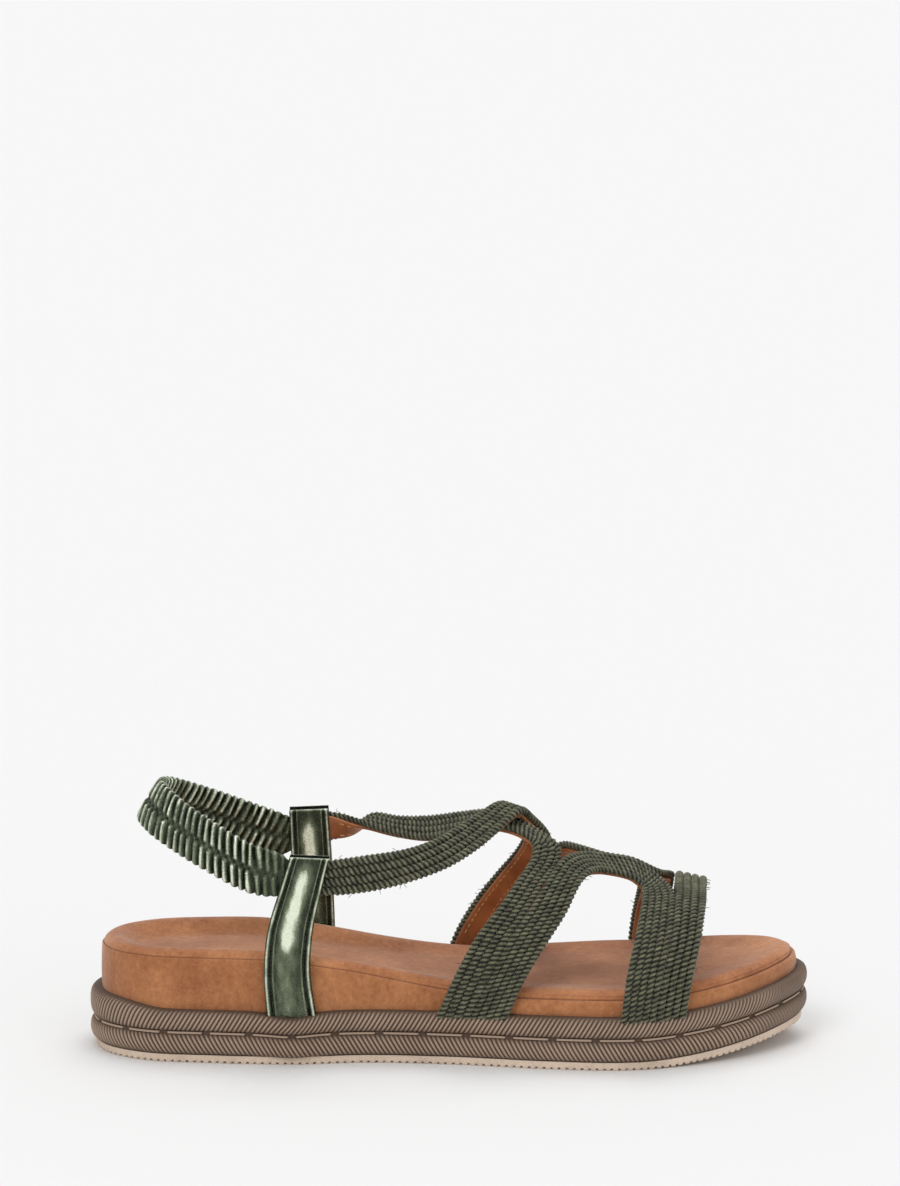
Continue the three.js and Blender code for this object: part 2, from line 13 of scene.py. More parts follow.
import bpy
import numpy as np
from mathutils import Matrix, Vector

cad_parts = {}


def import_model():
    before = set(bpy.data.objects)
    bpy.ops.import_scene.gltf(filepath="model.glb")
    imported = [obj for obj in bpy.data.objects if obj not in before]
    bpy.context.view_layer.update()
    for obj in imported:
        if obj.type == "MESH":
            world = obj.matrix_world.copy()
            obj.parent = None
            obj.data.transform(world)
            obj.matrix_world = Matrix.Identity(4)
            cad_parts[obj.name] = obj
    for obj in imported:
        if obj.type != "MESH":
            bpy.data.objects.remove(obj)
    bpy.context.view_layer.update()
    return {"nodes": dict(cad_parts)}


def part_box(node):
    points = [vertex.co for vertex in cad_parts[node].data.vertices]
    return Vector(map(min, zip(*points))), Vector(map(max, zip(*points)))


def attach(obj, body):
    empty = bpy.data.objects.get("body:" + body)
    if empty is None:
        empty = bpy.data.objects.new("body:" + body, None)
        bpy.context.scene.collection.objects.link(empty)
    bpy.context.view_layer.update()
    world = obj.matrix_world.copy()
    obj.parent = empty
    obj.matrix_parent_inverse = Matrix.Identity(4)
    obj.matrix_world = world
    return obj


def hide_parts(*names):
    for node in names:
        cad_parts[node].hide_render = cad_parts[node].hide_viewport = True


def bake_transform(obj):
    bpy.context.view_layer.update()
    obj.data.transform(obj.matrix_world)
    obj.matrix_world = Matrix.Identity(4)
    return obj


LOG = logging.getLogger("sandal")
MM = 0.001
SHORTEST = 1e-9  # lengths are kept above this before something is divided by them
Piece = bpy.types.Object
Socket = bpy.types.NodeSocket
Height = float | Callable[[np.ndarray], np.ndarray]
Station = tuple[float, float, float, float, float, float]
Colour = tuple[float, float, float]
Seam = tuple[np.ndarray, np.ndarray, np.ndarray]


class Side(Enum):
    """The two sides of the shoe; the value is the sign of y."""

    LATERAL = -1
    MEDIAL = 1


class Body(Enum):
    """The rigid bodies of the frame."""

    SHOE = "shoe"
    HEEL_STRAP = "heel_strap"
    HEEL_LOOP = "heel_strap_loop"


# ---------------------------------------------------------------- curves
def smooth(low: float, high: float, value: np.ndarray) -> np.ndarray:
    """Rises smoothly from 0 at low to 1 at high."""
    share = np.clip((np.asarray(value, float) - low) / (high - low), 0, 1)
    return share * share * (3 - 2 * share)


def spline(points: np.ndarray, ts: np.ndarray, closed: bool = False) -> np.ndarray:
    """Centripetal Catmull-Rom curve through points.

    Args:
        points: the curve's points, one per row.
        ts: places along the curve, 0 at its first point and 1 at its end.
        closed: whether the curve runs back to its first point.

    Returns:
        One point for each place.
    """
    points = np.asarray(points, float)
    count = len(points)
    if closed:
        place = np.mod(ts, 1) * count
        first = np.floor(place).astype(int)
        around = [points[(first + step) % count] for step in (-1, 0, 1, 2)]
    else:
        padded = np.vstack([2 * points[0] - points[1], points, 2 * points[-1] - points[-2]])
        place = np.clip(ts, 0, 1) * (count - 1)
        first = np.minimum(np.floor(place).astype(int), count - 2)
        around = [padded[first + 1 + step] for step in (-1, 0, 1, 2)]
    p0, p1, p2, p3 = around
    gaps = [np.linalg.norm(b - a, axis=1)[:, None] for a, b in zip(around, around[1:])]
    g0, g1, g2 = (np.maximum(gap, SHORTEST) ** 0.5 for gap in gaps)
    leave = ((p1 - p0) / g0 - (p2 - p0) / (g0 + g1) + (p2 - p1) / g1) * g1
    arrive = ((p2 - p1) / g1 - (p3 - p1) / (g1 + g2) + (p3 - p2) / g2) * g1
    w = (place - first)[:, None]
    square = (3 * (p2 - p1) - 2 * leave - arrive) * w**2
    cube = (2 * (p1 - p2) + leave + arrive) * w**3
    return p1 + leave * w + square + cube


def unit(vectors: np.ndarray) -> np.ndarray:
    """The vectors at length 1."""
    return vectors / np.maximum(np.linalg.norm(vectors, axis=-1, keepdims=True), SHORTEST)


def run_length(points: np.ndarray) -> np.ndarray:
    """Distance travelled along a row of points, from 0."""
    return np.concatenate([[0.0], np.cumsum(np.linalg.norm(np.diff(points, axis=0), axis=1))])


# ---------------------------------------------------------------- the shoe's driving shape
def forefoot_share(x: np.ndarray) -> np.ndarray:
    """How far the footbed has changed from its heel shape, 0, to its forefoot shape, 1."""
    return smooth(60, 150, x)


@dataclass(frozen=True)
class Sole:
    """Outline of the sole unit, toe spring and the footbed's heights."""

    length: float = 258
    toe_spring: float = 8
    spring_start: float = 195
    spring_power: float = 1.6
    inset: float = 4.2
    heel_height: float = 37.2
    forefoot_height: float = 24.3
    wedge: tuple[float, float] = (55, 150)
    dish: tuple[float, float] = (4.2, 15)
    heel_dish: float = 4.2
    forefoot_dish: float = 1.0
    heel_shoulder: float = 2.7
    forefoot_shoulder: float = 3.1
    shoulder_width: float = 3.4
    heel: tuple[float, float] = (0, 0)
    toe: tuple[float, float] = (258, 8.5)
    lateral: tuple[tuple[float, float], ...] = (
        (5, -17), (20, -28.5), (45, -33), (74, -35), (100, -32.5), (130, -35),
        (163, -41), (190, -43), (213, -37.5), (233, -27), (247.8, -13.5), (255.6, -2),
    )
    medial: tuple[tuple[float, float], ...] = (
        (5, 17), (20, 28.5), (45, 32.5), (74, 31.5), (100, 31.5), (130, 37),
        (163, 44.5), (192, 49.5), (218, 48.5), (237.6, 41), (250.2, 30.5), (256.4, 19),
    )

    def lift(self, x: np.ndarray) -> np.ndarray:
        """How far the toe spring lifts the sole at x."""
        share = np.maximum(0, (np.asarray(x, float) - self.spring_start) / (self.length - self.spring_start))
        return self.toe_spring * share**self.spring_power

    def outline(self, ts: np.ndarray) -> np.ndarray:
        """Points of the outline, flat on the ground."""
        flat = [self.heel, *self.lateral, self.toe, *reversed(self.medial)]
        return spline(np.array([(x, y, 0.0) for x, y in flat]), ts, closed=True)

    def inwards(self, ts: np.ndarray) -> np.ndarray:
        """Level directions into the sole, square to the outline."""
        along = unit(self.outline(ts + 1e-4) - self.outline(ts - 1e-4))
        return np.stack([-along[:, 1], along[:, 0], np.zeros(len(ts))], axis=1)

    def places(self, count: int) -> np.ndarray:
        """Places along the outline, evenly spaced on the outer side and mirrored on the inner side.

        Args:
            count: how many places, an even number.

        Returns:
            The places, from 0 to 1.
        """
        fine = np.linspace(0, 0.5, 4001)
        run = run_length(self.outline(fine))
        half = np.interp(np.linspace(0, run[-1], count // 2 + 1), run, fine)
        return np.concatenate([half, 1 - half[-2:0:-1]])

    def ring(self, ts: np.ndarray, inset: np.ndarray | float, height: Height) -> np.ndarray:
        """The outline moved inwards, at a height that may depend on x, with the toe spring added.

        Args:
            ts: places along the outline.
            inset: how far inwards, one number or one for each place.
            height: a height, or a function that gives it at x.

        Returns:
            One point for each place.
        """
        points = self.outline(ts) + self.inwards(ts) * np.broadcast_to(inset, len(ts))[:, None]
        points[:, 2] = (height(points[:, 0]) if callable(height) else height) + self.lift(points[:, 0])
        return points

    def side_top(self, x: np.ndarray) -> np.ndarray:
        """Height of the top of the footbed's side."""
        wedge = 1 - smooth(*self.wedge, x)
        return self.forefoot_height + (self.heel_height - self.forefoot_height) * wedge

    def surface(self, inwards: float) -> Callable[[np.ndarray], np.ndarray]:
        """Height of the footbed's surface at a distance inwards from its side, as a function of x.

        Args:
            inwards: distance inwards from the footbed's side.

        Returns:
            The function that gives the height at x.
        """

        def height(x: np.ndarray) -> np.ndarray:
            """The surface's height.

            Args:
                x: places along the shoe.

            Returns:
                The height at x.
            """
            forefoot = forefoot_share(x)
            rise = self.heel_shoulder + (self.forefoot_shoulder - self.heel_shoulder) * forefoot
            shoulder = rise * math.sqrt(1 - (1 - min(1.0, inwards / self.shoulder_width)) ** 2)
            depth = self.heel_dish + (self.forefoot_dish - self.heel_dish) * forefoot
            return self.side_top(x) + shoulder - depth * smooth(*self.dish, inwards)

        return height

    def beside_footbed(self, x: float, side: Side, stand: float, z: float) -> tuple[float, float, float]:
        """A point at that x and height, outside the footbed's side by stand.

        Args:
            x: place along the shoe.
            side: which side of the shoe.
            stand: distance out from the side.
            z: the point's height.

        Returns:
            The point.
        """
        fine = np.linspace(0, 0.5, 2001)
        ts = fine if side is Side.LATERAL else 1 - fine
        points = self.outline(ts) + self.inwards(ts) * (self.inset - stand)
        nearest = points[np.argmin(np.abs(points[:, 0] - x))]
        return float(nearest[0]), float(nearest[1]), z


SOLE = Sole()


class Band:
    """A ribbon between two edge curves; heights are measured away from the foot."""

    def __init__(self, stations: Sequence[Station], turn: int) -> None:
        """Keeps the two edges.

        Args:
            stations: a point of the first edge and one of the second, at each place along the band.
            turn: 1 or -1, so that heights point away from the foot.
        """
        table = np.array(stations, float)
        self.first, self.second = table[:, :3], table[:, 3:]
        self.turn = turn
        fine = np.linspace(0, 1, 1201)
        self._fine, self._run = fine, run_length(self.middle(fine))

    def middle(self, ts: np.ndarray) -> np.ndarray:
        """The band's middle line."""
        return (spline(self.first, ts) + spline(self.second, ts)) / 2

    def even(self, step: float, start: float = 0, end: float = 1) -> np.ndarray:
        """Places from start to end, about one step apart along the middle line.

        Args:
            step: distance between places.
            start: the first place.
            end: the last place.

        Returns:
            The places, from 0 to 1.
        """
        low, high = np.interp([start, end], self._fine, self._run)
        count = max(3, round((high - low) / step) + 1)
        return np.interp(np.linspace(low, high, count), self._run, self._fine)

    def frames(self, ts: np.ndarray) -> tuple[np.ndarray, np.ndarray, np.ndarray]:
        """First edge, vector across to the second edge, and outward direction at each place.

        Args:
            ts: places along the band, from 0 to 1.

        Returns:
            The three rows of vectors.
        """
        first, second = spline(self.first, ts), spline(self.second, ts)
        nudge = 1e-3
        along = sum(
            unit(spline(edge, np.clip(ts + nudge, 0, 1)) - spline(edge, np.clip(ts - nudge, 0, 1)))
            for edge in (self.first, self.second)
        )
        across = second - first
        return first, across, unit(np.cross(across, along)) * self.turn

    def surface(self, ts: np.ndarray, shares: np.ndarray, heights: np.ndarray) -> np.ndarray:
        """Points at shares of the width and at heights, one row for each place.

        Args:
            ts: places along the band.
            shares: shares of the width, one row for each place or one row for all.
            heights: heights in the same arrangement.

        Returns:
            Points shaped (places, shares, 3).
        """
        first, across, out = self.frames(ts)
        shares = np.broadcast_to(shares, (len(ts), np.shape(shares)[-1]))
        heights = np.broadcast_to(heights, shares.shape)
        return first[:, None] + across[:, None] * shares[..., None] + out[:, None] * heights[..., None]

    def width(self, ts: np.ndarray) -> np.ndarray:
        """Width square to the band's run at each place."""
        _, across, _ = self.frames(ts)
        return np.linalg.norm(np.cross(across, unit(np.gradient(self.middle(ts), axis=0))), axis=1)

    def seam(self, ts: np.ndarray, share: float, height: np.ndarray | float, sign: int) -> Seam:
        """Threads in a row along the band.

        Args:
            ts: places of the threads along the band.
            share: the row's share of the width.
            height: the row's height, one for each place or one for all.
            sign: 1 on the outer face, -1 on the inner face.

        Returns:
            The threads' middles, their directions and the directions away from the leather.
        """
        heights = np.broadcast_to(height, len(ts))[:, None]
        points = self.surface(ts, np.array([share]), heights)[:, 0]
        return points, unit(np.gradient(points, axis=0)), sign * self.frames(ts)[2]


# ---------------------------------------------------------------- the workbench: meshes by operators
class Workbench:
    """Makes meshes from grid primitives, joins them and hands them to the frame."""

    def __init__(self, sole: Sole) -> None:
        """Works out where the shoe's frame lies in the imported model's frame.

        Args:
            sole: the shoe's outline.
        """
        low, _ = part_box("sidewall_rim")
        cad_outline = sole.outline(np.arange(72) / 72)
        self.offset = np.array([low.x / MM, low.y / MM - cad_outline[:, 1].min(), 0.0])

    def to_row(self, points: np.ndarray) -> np.ndarray:
        """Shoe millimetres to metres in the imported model's frame."""
        return (np.asarray(points, float) + self.offset) * MM

    def sheet(self, name: str, rows: np.ndarray) -> Piece:
        """A grid primitive laid over rows of points, with its texture coordinates along and across.

        Args:
            name: the object's name.
            rows: points in rows, shaped (rows, columns, 3), or with a fourth number that is kept as a point
                attribute of painted light and shade.

        Returns:
            The open sheet.
        """
        bpy.ops.object.select_all(action="DESELECT")
        lines, columns, numbers = rows.shape
        bpy.ops.mesh.primitive_grid_add(
            x_subdivisions=columns - 1, y_subdivisions=lines - 1, size=1, calc_uvs=True
        )
        piece = bpy.context.active_object
        piece.name = piece.data.name = name
        piece.data.vertices.foreach_set("co", self.to_row(rows[..., :3].reshape(-1, 3)).ravel())
        # A fourth number is painted light and shade, kept on the points: 0 is painted shade, 1 is painted
        # highlight.
        if numbers == 4:
            ridge = piece.data.attributes.new("ridge", "FLOAT", "POINT")
            ridge.data.foreach_set("value", rows[..., 3].ravel().astype(np.float32))
        return piece

    def skin(self, name: str, rows: np.ndarray, around: bool = False, ring: bool = False) -> Piece:
        """A closed skin over rows of points.

        Args:
            name: the object's name.
            rows: points in rows, as for sheet.
            around: whether the columns run round and meet; open ends are then filled.
            ring: whether the rows run round and meet.

        Returns:
            The finished piece.
        """
        if around:
            rows = np.concatenate([rows, rows[:, :1]], axis=1)
        if ring:
            rows = np.concatenate([rows, rows[:1]], axis=0)
        piece = self.sheet(name, rows)
        self.seal(piece, fill=around and not ring)
        return piece

    def seal(self, piece: Piece, fill: bool = False) -> None:
        """Merges seams, fills open ends and turns the faces outwards.

        Args:
            piece: what is sealed.
            fill: whether open ends are filled.
        """
        bpy.ops.object.select_all(action="DESELECT")
        piece.select_set(True)
        bpy.context.view_layer.objects.active = piece
        bpy.ops.object.mode_set(mode="EDIT")
        bpy.ops.mesh.select_all(action="SELECT")
        bpy.ops.mesh.remove_doubles(threshold=1e-7)
        bpy.ops.mesh.delete_loose()
        bpy.ops.mesh.select_all(action="SELECT")
        if fill:
            bpy.ops.mesh.fill_holes(sides=0)
        bpy.ops.mesh.normals_make_consistent(inside=False)
        bpy.ops.object.mode_set(mode="OBJECT")
        bpy.ops.object.shade_smooth_by_angle(angle=math.radians(50))

    def join(self, name: str, pieces: Sequence[Piece], merge: bool = False) -> Piece:
        """Joins pieces into the first of them.

        Args:
            name: the joined piece's name.
            pieces: what is joined.
            merge: whether touching borders are sewn into one closed skin.

        Returns:
            The joined piece.
        """
        bpy.ops.object.select_all(action="DESELECT")
        for piece in pieces:
            piece.select_set(True)
        bpy.context.view_layer.objects.active = pieces[0]
        bpy.ops.object.join()
        joined = bpy.context.active_object
        joined.name = joined.data.name = name
        if merge:
            self.seal(joined)
        return joined

    def plate(
        self, name: str, rings: Sequence[np.ndarray], across: int = 12,
        shape: Callable[[np.ndarray], np.ndarray] | None = None,
    ) -> Piece:
        """A closed plate whose side runs through rings from the bottom up, capped from side to side.

        Args:
            name: the object's name.
            rings: rings of equally many points that pair up side to side.
            across: how many strips a cap has from side to side.
            shape: changes the points of the lower cap, except on its border.

        Returns:
            The finished piece.
        """
        half = len(rings[0]) // 2
        caps = []
        for ring, is_lower in ((rings[0], True), (rings[-1], False)):
            left, right = ring[: half + 1], np.roll(ring[::-1], 1, axis=0)[: half + 1]
            share = np.linspace(0, 1, across + 1)[None, :, None]
            rows = left[:, None] * (1 - share) + right[:, None] * share
            if is_lower and shape is not None:
                rows[1:-1, 1:-1] = shape(rows[1:-1, 1:-1])
            caps.append(self.sheet(name + "_cap", rows))
        wall = np.stack(list(rings))
        wall = np.concatenate([wall, wall[:, :1]], axis=1)
        return self.join(name, [self.sheet(name, wall), *caps], merge=True)

    @staticmethod
    def log(piece: Piece) -> None:
        """Reports a finished piece."""
        LOG.info("%s: %d faces", piece.name, len(piece.data.polygons))


def stitches(
    bench: Workbench, name: str, seams: Sequence[Seam], length: float, width: float
) -> Piece:
    """Short raised threads, each a rounded bar with a few faces.

    Args:
        bench: the workbench.
        name: the piece's name.
        seams: rows of threads, as Band.seam gives them.
        length: length of one thread.
        width: thickness of one thread.

    Returns:
        One piece that holds every thread.
    """
    centres, along, out = (np.concatenate(parts) for parts in zip(*seams))
    side = np.cross(along, out)[:, None]
    angles = np.linspace(0, 2 * math.pi, 7)
    angles[-1] = 0
    circle = out[:, None] * np.cos(angles)[:, None] + side * np.sin(angles)[:, None]
    profile = ((-0.5, 0.0), (-0.42, 0.7), (0.0, 1.0), (0.42, 0.7), (0.5, 0.0))
    rows = [
        centres[:, None] + along[:, None] * length * place + circle * width / 2 * size
        for place, size in profile
    ]
    piece = bench.sheet(name, np.stack(rows, axis=1).reshape(-1, len(angles), 3))
    bench.seal(piece)
    return piece


# ---------------------------------------------------------------- finishes
class Nodes:
    """A material's node tree, with short calls for what the finishes share."""

    def __init__(self, name: str) -> None:
        """Starts a material with only its shader and output.

        Args:
            name: the material's name.
        """
        self.material = bpy.data.materials.new(name)
        self.material.use_nodes = True
        self.tree = self.material.node_tree
        self.shader = self.tree.nodes["Principled BSDF"]
        self.place = self.tree.nodes.new("ShaderNodeTexCoord")
        self._height: Socket | None = None

    def set(self, **values: float | tuple) -> None:
        """Sets shader sockets; an underscore in a keyword stands for a space."""
        for key, value in values.items():
            self.shader.inputs[key.replace("_", " ")].default_value = value

    def add(self, kind: str, **settings: object) -> bpy.types.Node:
        """Adds a node and sets its properties or, where the name is a socket's, its inputs.

        Args:
            kind: the node's type.
            **settings: its properties and input values; an underscore in an input stands for a space.

        Returns:
            The node.
        """
        node = self.tree.nodes.new(kind)
        for key, value in settings.items():
            if key in node.bl_rna.properties:
                setattr(node, key, value)
            else:
                node.inputs[key.replace("_", " ")].default_value = value
        return node

    def link(self, source: Socket, target: Socket) -> None:
        """Links two sockets."""
        self.tree.links.new(source, target)

    def mapped(self, scale: tuple[float, float, float], uv: bool = False) -> Socket:
        """Object or texture coordinates, scaled.

        Args:
            scale: scale along each axis.
            uv: whether the texture coordinates are used.

        Returns:
            The coordinates.
        """
        mapping = self.add("ShaderNodeMapping", Scale=scale)
        self.link(self.place.outputs["UV" if uv else "Object"], mapping.inputs["Vector"])
        return mapping.outputs["Vector"]

    def noise(self, scale: float, detail: float, rough: float = 0.5, at: Socket | None = None) -> Socket:
        """Noise from 0 to 1 with about scale features a metre.

        Args:
            scale: features a metre, or a unit of the coordinates.
            detail: how many octaves.
            rough: how strong the fine octaves are.
            at: coordinates, the object's own by default.

        Returns:
            The noise.
        """
        node = self.add("ShaderNodeTexNoise", Scale=scale, Detail=detail, Roughness=rough)
        self.link(at or self.place.outputs["Object"], node.inputs["Vector"])
        return node.outputs["Fac"]

    def cells(self, scale: float, feature: str = "F1") -> Socket:
        """Distance in a pattern of cells, with about scale cells a metre.

        Args:
            scale: cells a metre.
            feature: which distance the pattern gives.

        Returns:
            The distance.
        """
        node = self.add("ShaderNodeTexVoronoi", Scale=scale, feature=feature)
        self.link(self.place.outputs["Object"], node.inputs["Vector"])
        return node.outputs["Distance"]

    def ramp(self, source: Socket, stops: Sequence[tuple[float, Colour]]) -> Socket:
        """Colours along a value.

        Args:
            source: the value.
            stops: places on the ramp and their colours.

        Returns:
            The colour.
        """
        node = self.tree.nodes.new("ShaderNodeValToRGB")
        elements = node.color_ramp.elements
        while len(elements) < len(stops):
            elements.new(0.5)
        for element, (place, colour) in zip(elements, stops):
            element.position = place
            element.color = (*colour, 1)
        self.link(source, node.inputs["Fac"])
        return node.outputs["Color"]

    def math(self, operation: str, a: Socket, b: float | Socket) -> Socket:
        """Arithmetic on values.

        Args:
            operation: the node's operation.
            a: first value.
            b: second value, a number or a socket.

        Returns:
            The result.
        """
        node = self.add("ShaderNodeMath", operation=operation)
        self.link(a, node.inputs[0])
        if isinstance(b, (int, float)):
            node.inputs[1].default_value = b
        else:
            self.link(b, node.inputs[1])
        return node.outputs[0]

    def spread(self, source: Socket, low: float, high: float) -> Socket:
        """Stretches 0 to 1 over low to high.

        Args:
            source: the value.
            low: what 0 becomes.
            high: what 1 becomes.

        Returns:
            The stretched value.
        """
        node = self.tree.nodes.new("ShaderNodeMapRange")
        node.inputs["To Min"].default_value = low
        node.inputs["To Max"].default_value = high
        self.link(source, node.inputs["Value"])
        return node.outputs["Result"]

    def ridge(self) -> Socket:
        """The piece's own painted light and shade: 0 for painted shade in hollows, 1 for painted highlight
        on crests and bright bands.
        """
        return self.add("ShaderNodeAttribute", attribute_name="ridge").outputs["Fac"]

    def blend(self, *shares: tuple[Socket, float]) -> Socket:
        """Sum of values, each times its share.

        Args:
            *shares: pairs of a value and its share.

        Returns:
            The sum.
        """
        parts = [self.math("MULTIPLY", value, share) for value, share in shares]
        total = parts[0]
        for part in parts[1:]:
            total = self.math("ADD", total, part)
        return total

    def colour(self, source: Socket) -> None:
        """Links the base colour."""
        self.link(source, self.shader.inputs["Base Color"])

    def roughness(self, source: Socket) -> None:
        """Links the roughness."""
        self.link(source, self.shader.inputs["Roughness"])

    def bump(self, source: Socket, distance: float, strength: float = 1.0) -> None:
        """Adds a bump of that depth in millimetres over any earlier one.

        Args:
            source: the height, from 0 to 1.
            distance: depth of the relief.
            strength: how strongly it shows.
        """
        node = self.add("ShaderNodeBump", Strength=strength, Distance=distance * MM)
        self.link(source, node.inputs["Height"])
        if self._height is not None:
            self.link(self._height, node.inputs["Normal"])
        self._height = node.outputs["Normal"]
        self.link(self._height, self.shader.inputs["Normal"])


class Finish(Protocol):
    """What every finish has: its material's name, a slot name and a way to build the material."""

    name: str
    slot: str

    def material(self) -> bpy.types.Material:
        """Builds the material."""


@dataclass(frozen=True)
class Suede:
    """Brushed suede with a patchy nap."""

    name: str
    slot: str
    dark: Colour
    light: Colour

    def material(self) -> bpy.types.Material:
        """Builds the material.

        Returns:
            The material.
        """
        nodes = Nodes(self.name)
        patches = nodes.noise(38, 5, 0.62)
        nap = nodes.noise(1300, 2, 0.7)
        brushed = nodes.noise(1.0, 3, 0.6, nodes.mapped((420, 420, 170)))
        grains = nodes.noise(620, 2, 0.6)
        value = nodes.blend((patches, 0.5), (nap, 0.16), (brushed, 0.16), (grains, 0.18))
        middle = tuple((a + b) / 2 for a, b in zip(self.dark, self.light))
        nodes.colour(nodes.ramp(value, [(0.36, self.dark), (0.5, middle), (0.62, self.light)]))
        nodes.set(Roughness=0.95, Sheen_Weight=0.3, Sheen_Roughness=0.5, Specular_IOR_Level=0.1)
        nodes.bump(nap, 0.12, 0.6)
        nodes.bump(brushed, 0.2, 0.5)
        return nodes.material


@dataclass(frozen=True)
class Rubber:
    """Matt moulded rubber with a fine grain."""

    name: str
    slot: str
    dark: Colour
    light: Colour
    rough: float = 0.55

    def material(self) -> bpy.types.Material:
        """Builds the material.

        Returns:
            The material.
        """
        nodes = Nodes(self.name)
        cloud = nodes.noise(60, 4, 0.55)
        speck = nodes.noise(1800, 2)
        value = nodes.blend((cloud, 0.6), (speck, 0.4))
        nodes.colour(nodes.ramp(value, [(0.35, self.dark), (0.65, self.light)]))
        nodes.roughness(nodes.spread(cloud, self.rough - 0.08, self.rough + 0.12))
        nodes.set(Specular_IOR_Level=0.35)
        nodes.bump(speck, 0.06, 0.5)
        return nodes.material


@dataclass(frozen=True)
class RopeRubber:
    """Moulded rubber, with painted shade in its rib valleys and painted highlight on its rib crests."""

    name: str = "taupe_rope_rubber"
    slot: str = "rim"
    # valley is the painted shade colour, crest the painted highlight colour, flank lies between.
    valley: Colour = (0.085, 0.055, 0.038)
    flank: Colour = (0.15, 0.1, 0.07)
    crest: Colour = (0.38, 0.275, 0.205)

    def material(self) -> bpy.types.Material:
        """Builds the material.

        Returns:
            The material.
        """
        nodes = Nodes(self.name)
        cloud = nodes.noise(55, 4, 0.55)
        speck = nodes.noise(1900, 2)
        # The point attribute brings painted shade in valleys and groove and painted highlight on crests and
        # dashes; cloud and speck are the rubber's own tone.
        value = nodes.blend((nodes.ridge(), 0.85), (cloud, 0.3), (speck, 0.1))
        nodes.colour(nodes.ramp(value, [(0.28, self.valley), (0.66, self.flank), (1.0, self.crest)]))
        nodes.roughness(nodes.spread(cloud, 0.5, 0.7))
        nodes.set(Specular_IOR_Level=0.3)
        nodes.bump(speck, 0.06, 0.5)
        return nodes.material


@dataclass(frozen=True)
class SmoothLeather:
    """Smooth lining leather with pores and faint streaks."""

    name: str = "tan_lining_leather"
    slot: str = "lining"
    dark: Colour = (0.235, 0.075, 0.022)
    light: Colour = (0.44, 0.165, 0.055)

    def material(self) -> bpy.types.Material:
        """Builds the material.

        Returns:
            The material.
        """
        nodes = Nodes(self.name)
        cloud = nodes.noise(90, 5, 0.6)
        pores = nodes.cells(1500)
        nodes.colour(nodes.ramp(cloud, [(0.34, self.dark), (0.66, self.light)]))
        nodes.roughness(nodes.spread(cloud, 0.45, 0.62))
        nodes.bump(pores, 0.05, 0.5)
        return nodes.material


@dataclass(frozen=True)
class TwistedYarn:
    """Yarn whose fibres run along its plies, in mixed olive and black, with painted shade between the plies
    and painted highlight on their crests.
    """

    name: str = "olive_cord_yarn"
    slot: str = "cord"
    # black also serves as painted shade between the plies, pale as painted highlight on their crests.
    black: Colour = (0.005, 0.0055, 0.004)
    olive: Colour = (0.036, 0.039, 0.022)
    pale: Colour = (0.235, 0.232, 0.138)

    def material(self) -> bpy.types.Material:
        """Builds the material.

        Returns:
            The material.
        """
        nodes = Nodes(self.name)
        fibres = nodes.noise(1.0, 4, 0.65, nodes.mapped((26, 420, 1), uv=True))
        blotches = nodes.noise(330, 3, 0.6)
        # The point attribute adds painted shade where the plies meet and painted highlight on their crests.
        value = nodes.blend((fibres, 0.46), (blotches, 0.26), (nodes.ridge(), 0.19))
        nodes.colour(nodes.ramp(value, [(0.37, self.black), (0.475, self.olive), (0.63, self.pale)]))
        nodes.set(Roughness=0.65, Sheen_Weight=0.15, Sheen_Roughness=0.4, Specular_IOR_Level=0.4)
        nodes.bump(fibres, 0.14, 0.8)
        return nodes.material


@dataclass(frozen=True)
class MetallicLeather:
    """Crinkled leather with a metallic green foil, with painted highlights and painted shade on it."""

    name: str = "green_metallic_leather"
    slot: str = "metallic_leather"
    # black stands for painted shade and pale for painted highlight.
    black: Colour = (0.006, 0.01, 0.004)
    deep: Colour = (0.038, 0.05, 0.026)
    green: Colour = (0.17, 0.2, 0.125)
    pale: Colour = (0.85, 0.9, 0.72)

    def material(self) -> bpy.types.Material:
        """Builds the material.

        Returns:
            The material.
        """
        nodes = Nodes(self.name)
        warp = nodes.noise(1.0, 4, 0.6, nodes.mapped((420, 420, 160)))
        flakes = nodes.cells(950, "DISTANCE_TO_EDGE")
        grain = nodes.noise(1700, 2, 0.6)
        # The point attribute brings the painted highlight and painted shade; warp and grain are the foil's
        # own crinkled tone.
        value = nodes.blend((nodes.ridge(), 0.62), (warp, 0.54), (grain, 0.16))
        stops = [(0.32, self.black), (0.49, self.deep), (0.73, self.green), (0.98, self.pale)]
        nodes.colour(nodes.ramp(value, stops))
        nodes.set(Metallic=0.6, Specular_IOR_Level=0.6)
        nodes.roughness(nodes.spread(grain, 0.18, 0.4))
        nodes.bump(nodes.math("MINIMUM", flakes, 0.3), 0.35, 0.7)
        nodes.bump(warp, 1.1, 0.8)
        return nodes.material


@dataclass(frozen=True)
class Thread:
    """Waxed sewing thread."""

    name: str = "olive_thread"
    slot: str = "metallic_leather"
    dark: Colour = (0.012, 0.016, 0.008)
    light: Colour = (0.05, 0.06, 0.03)

    def material(self) -> bpy.types.Material:
        """Builds the material.

        Returns:
            The material.
        """
        nodes = Nodes(self.name)
        nodes.colour(nodes.ramp(nodes.noise(2500, 2), [(0.4, self.dark), (0.6, self.light)]))
        nodes.set(Roughness=0.55)
        return nodes.material


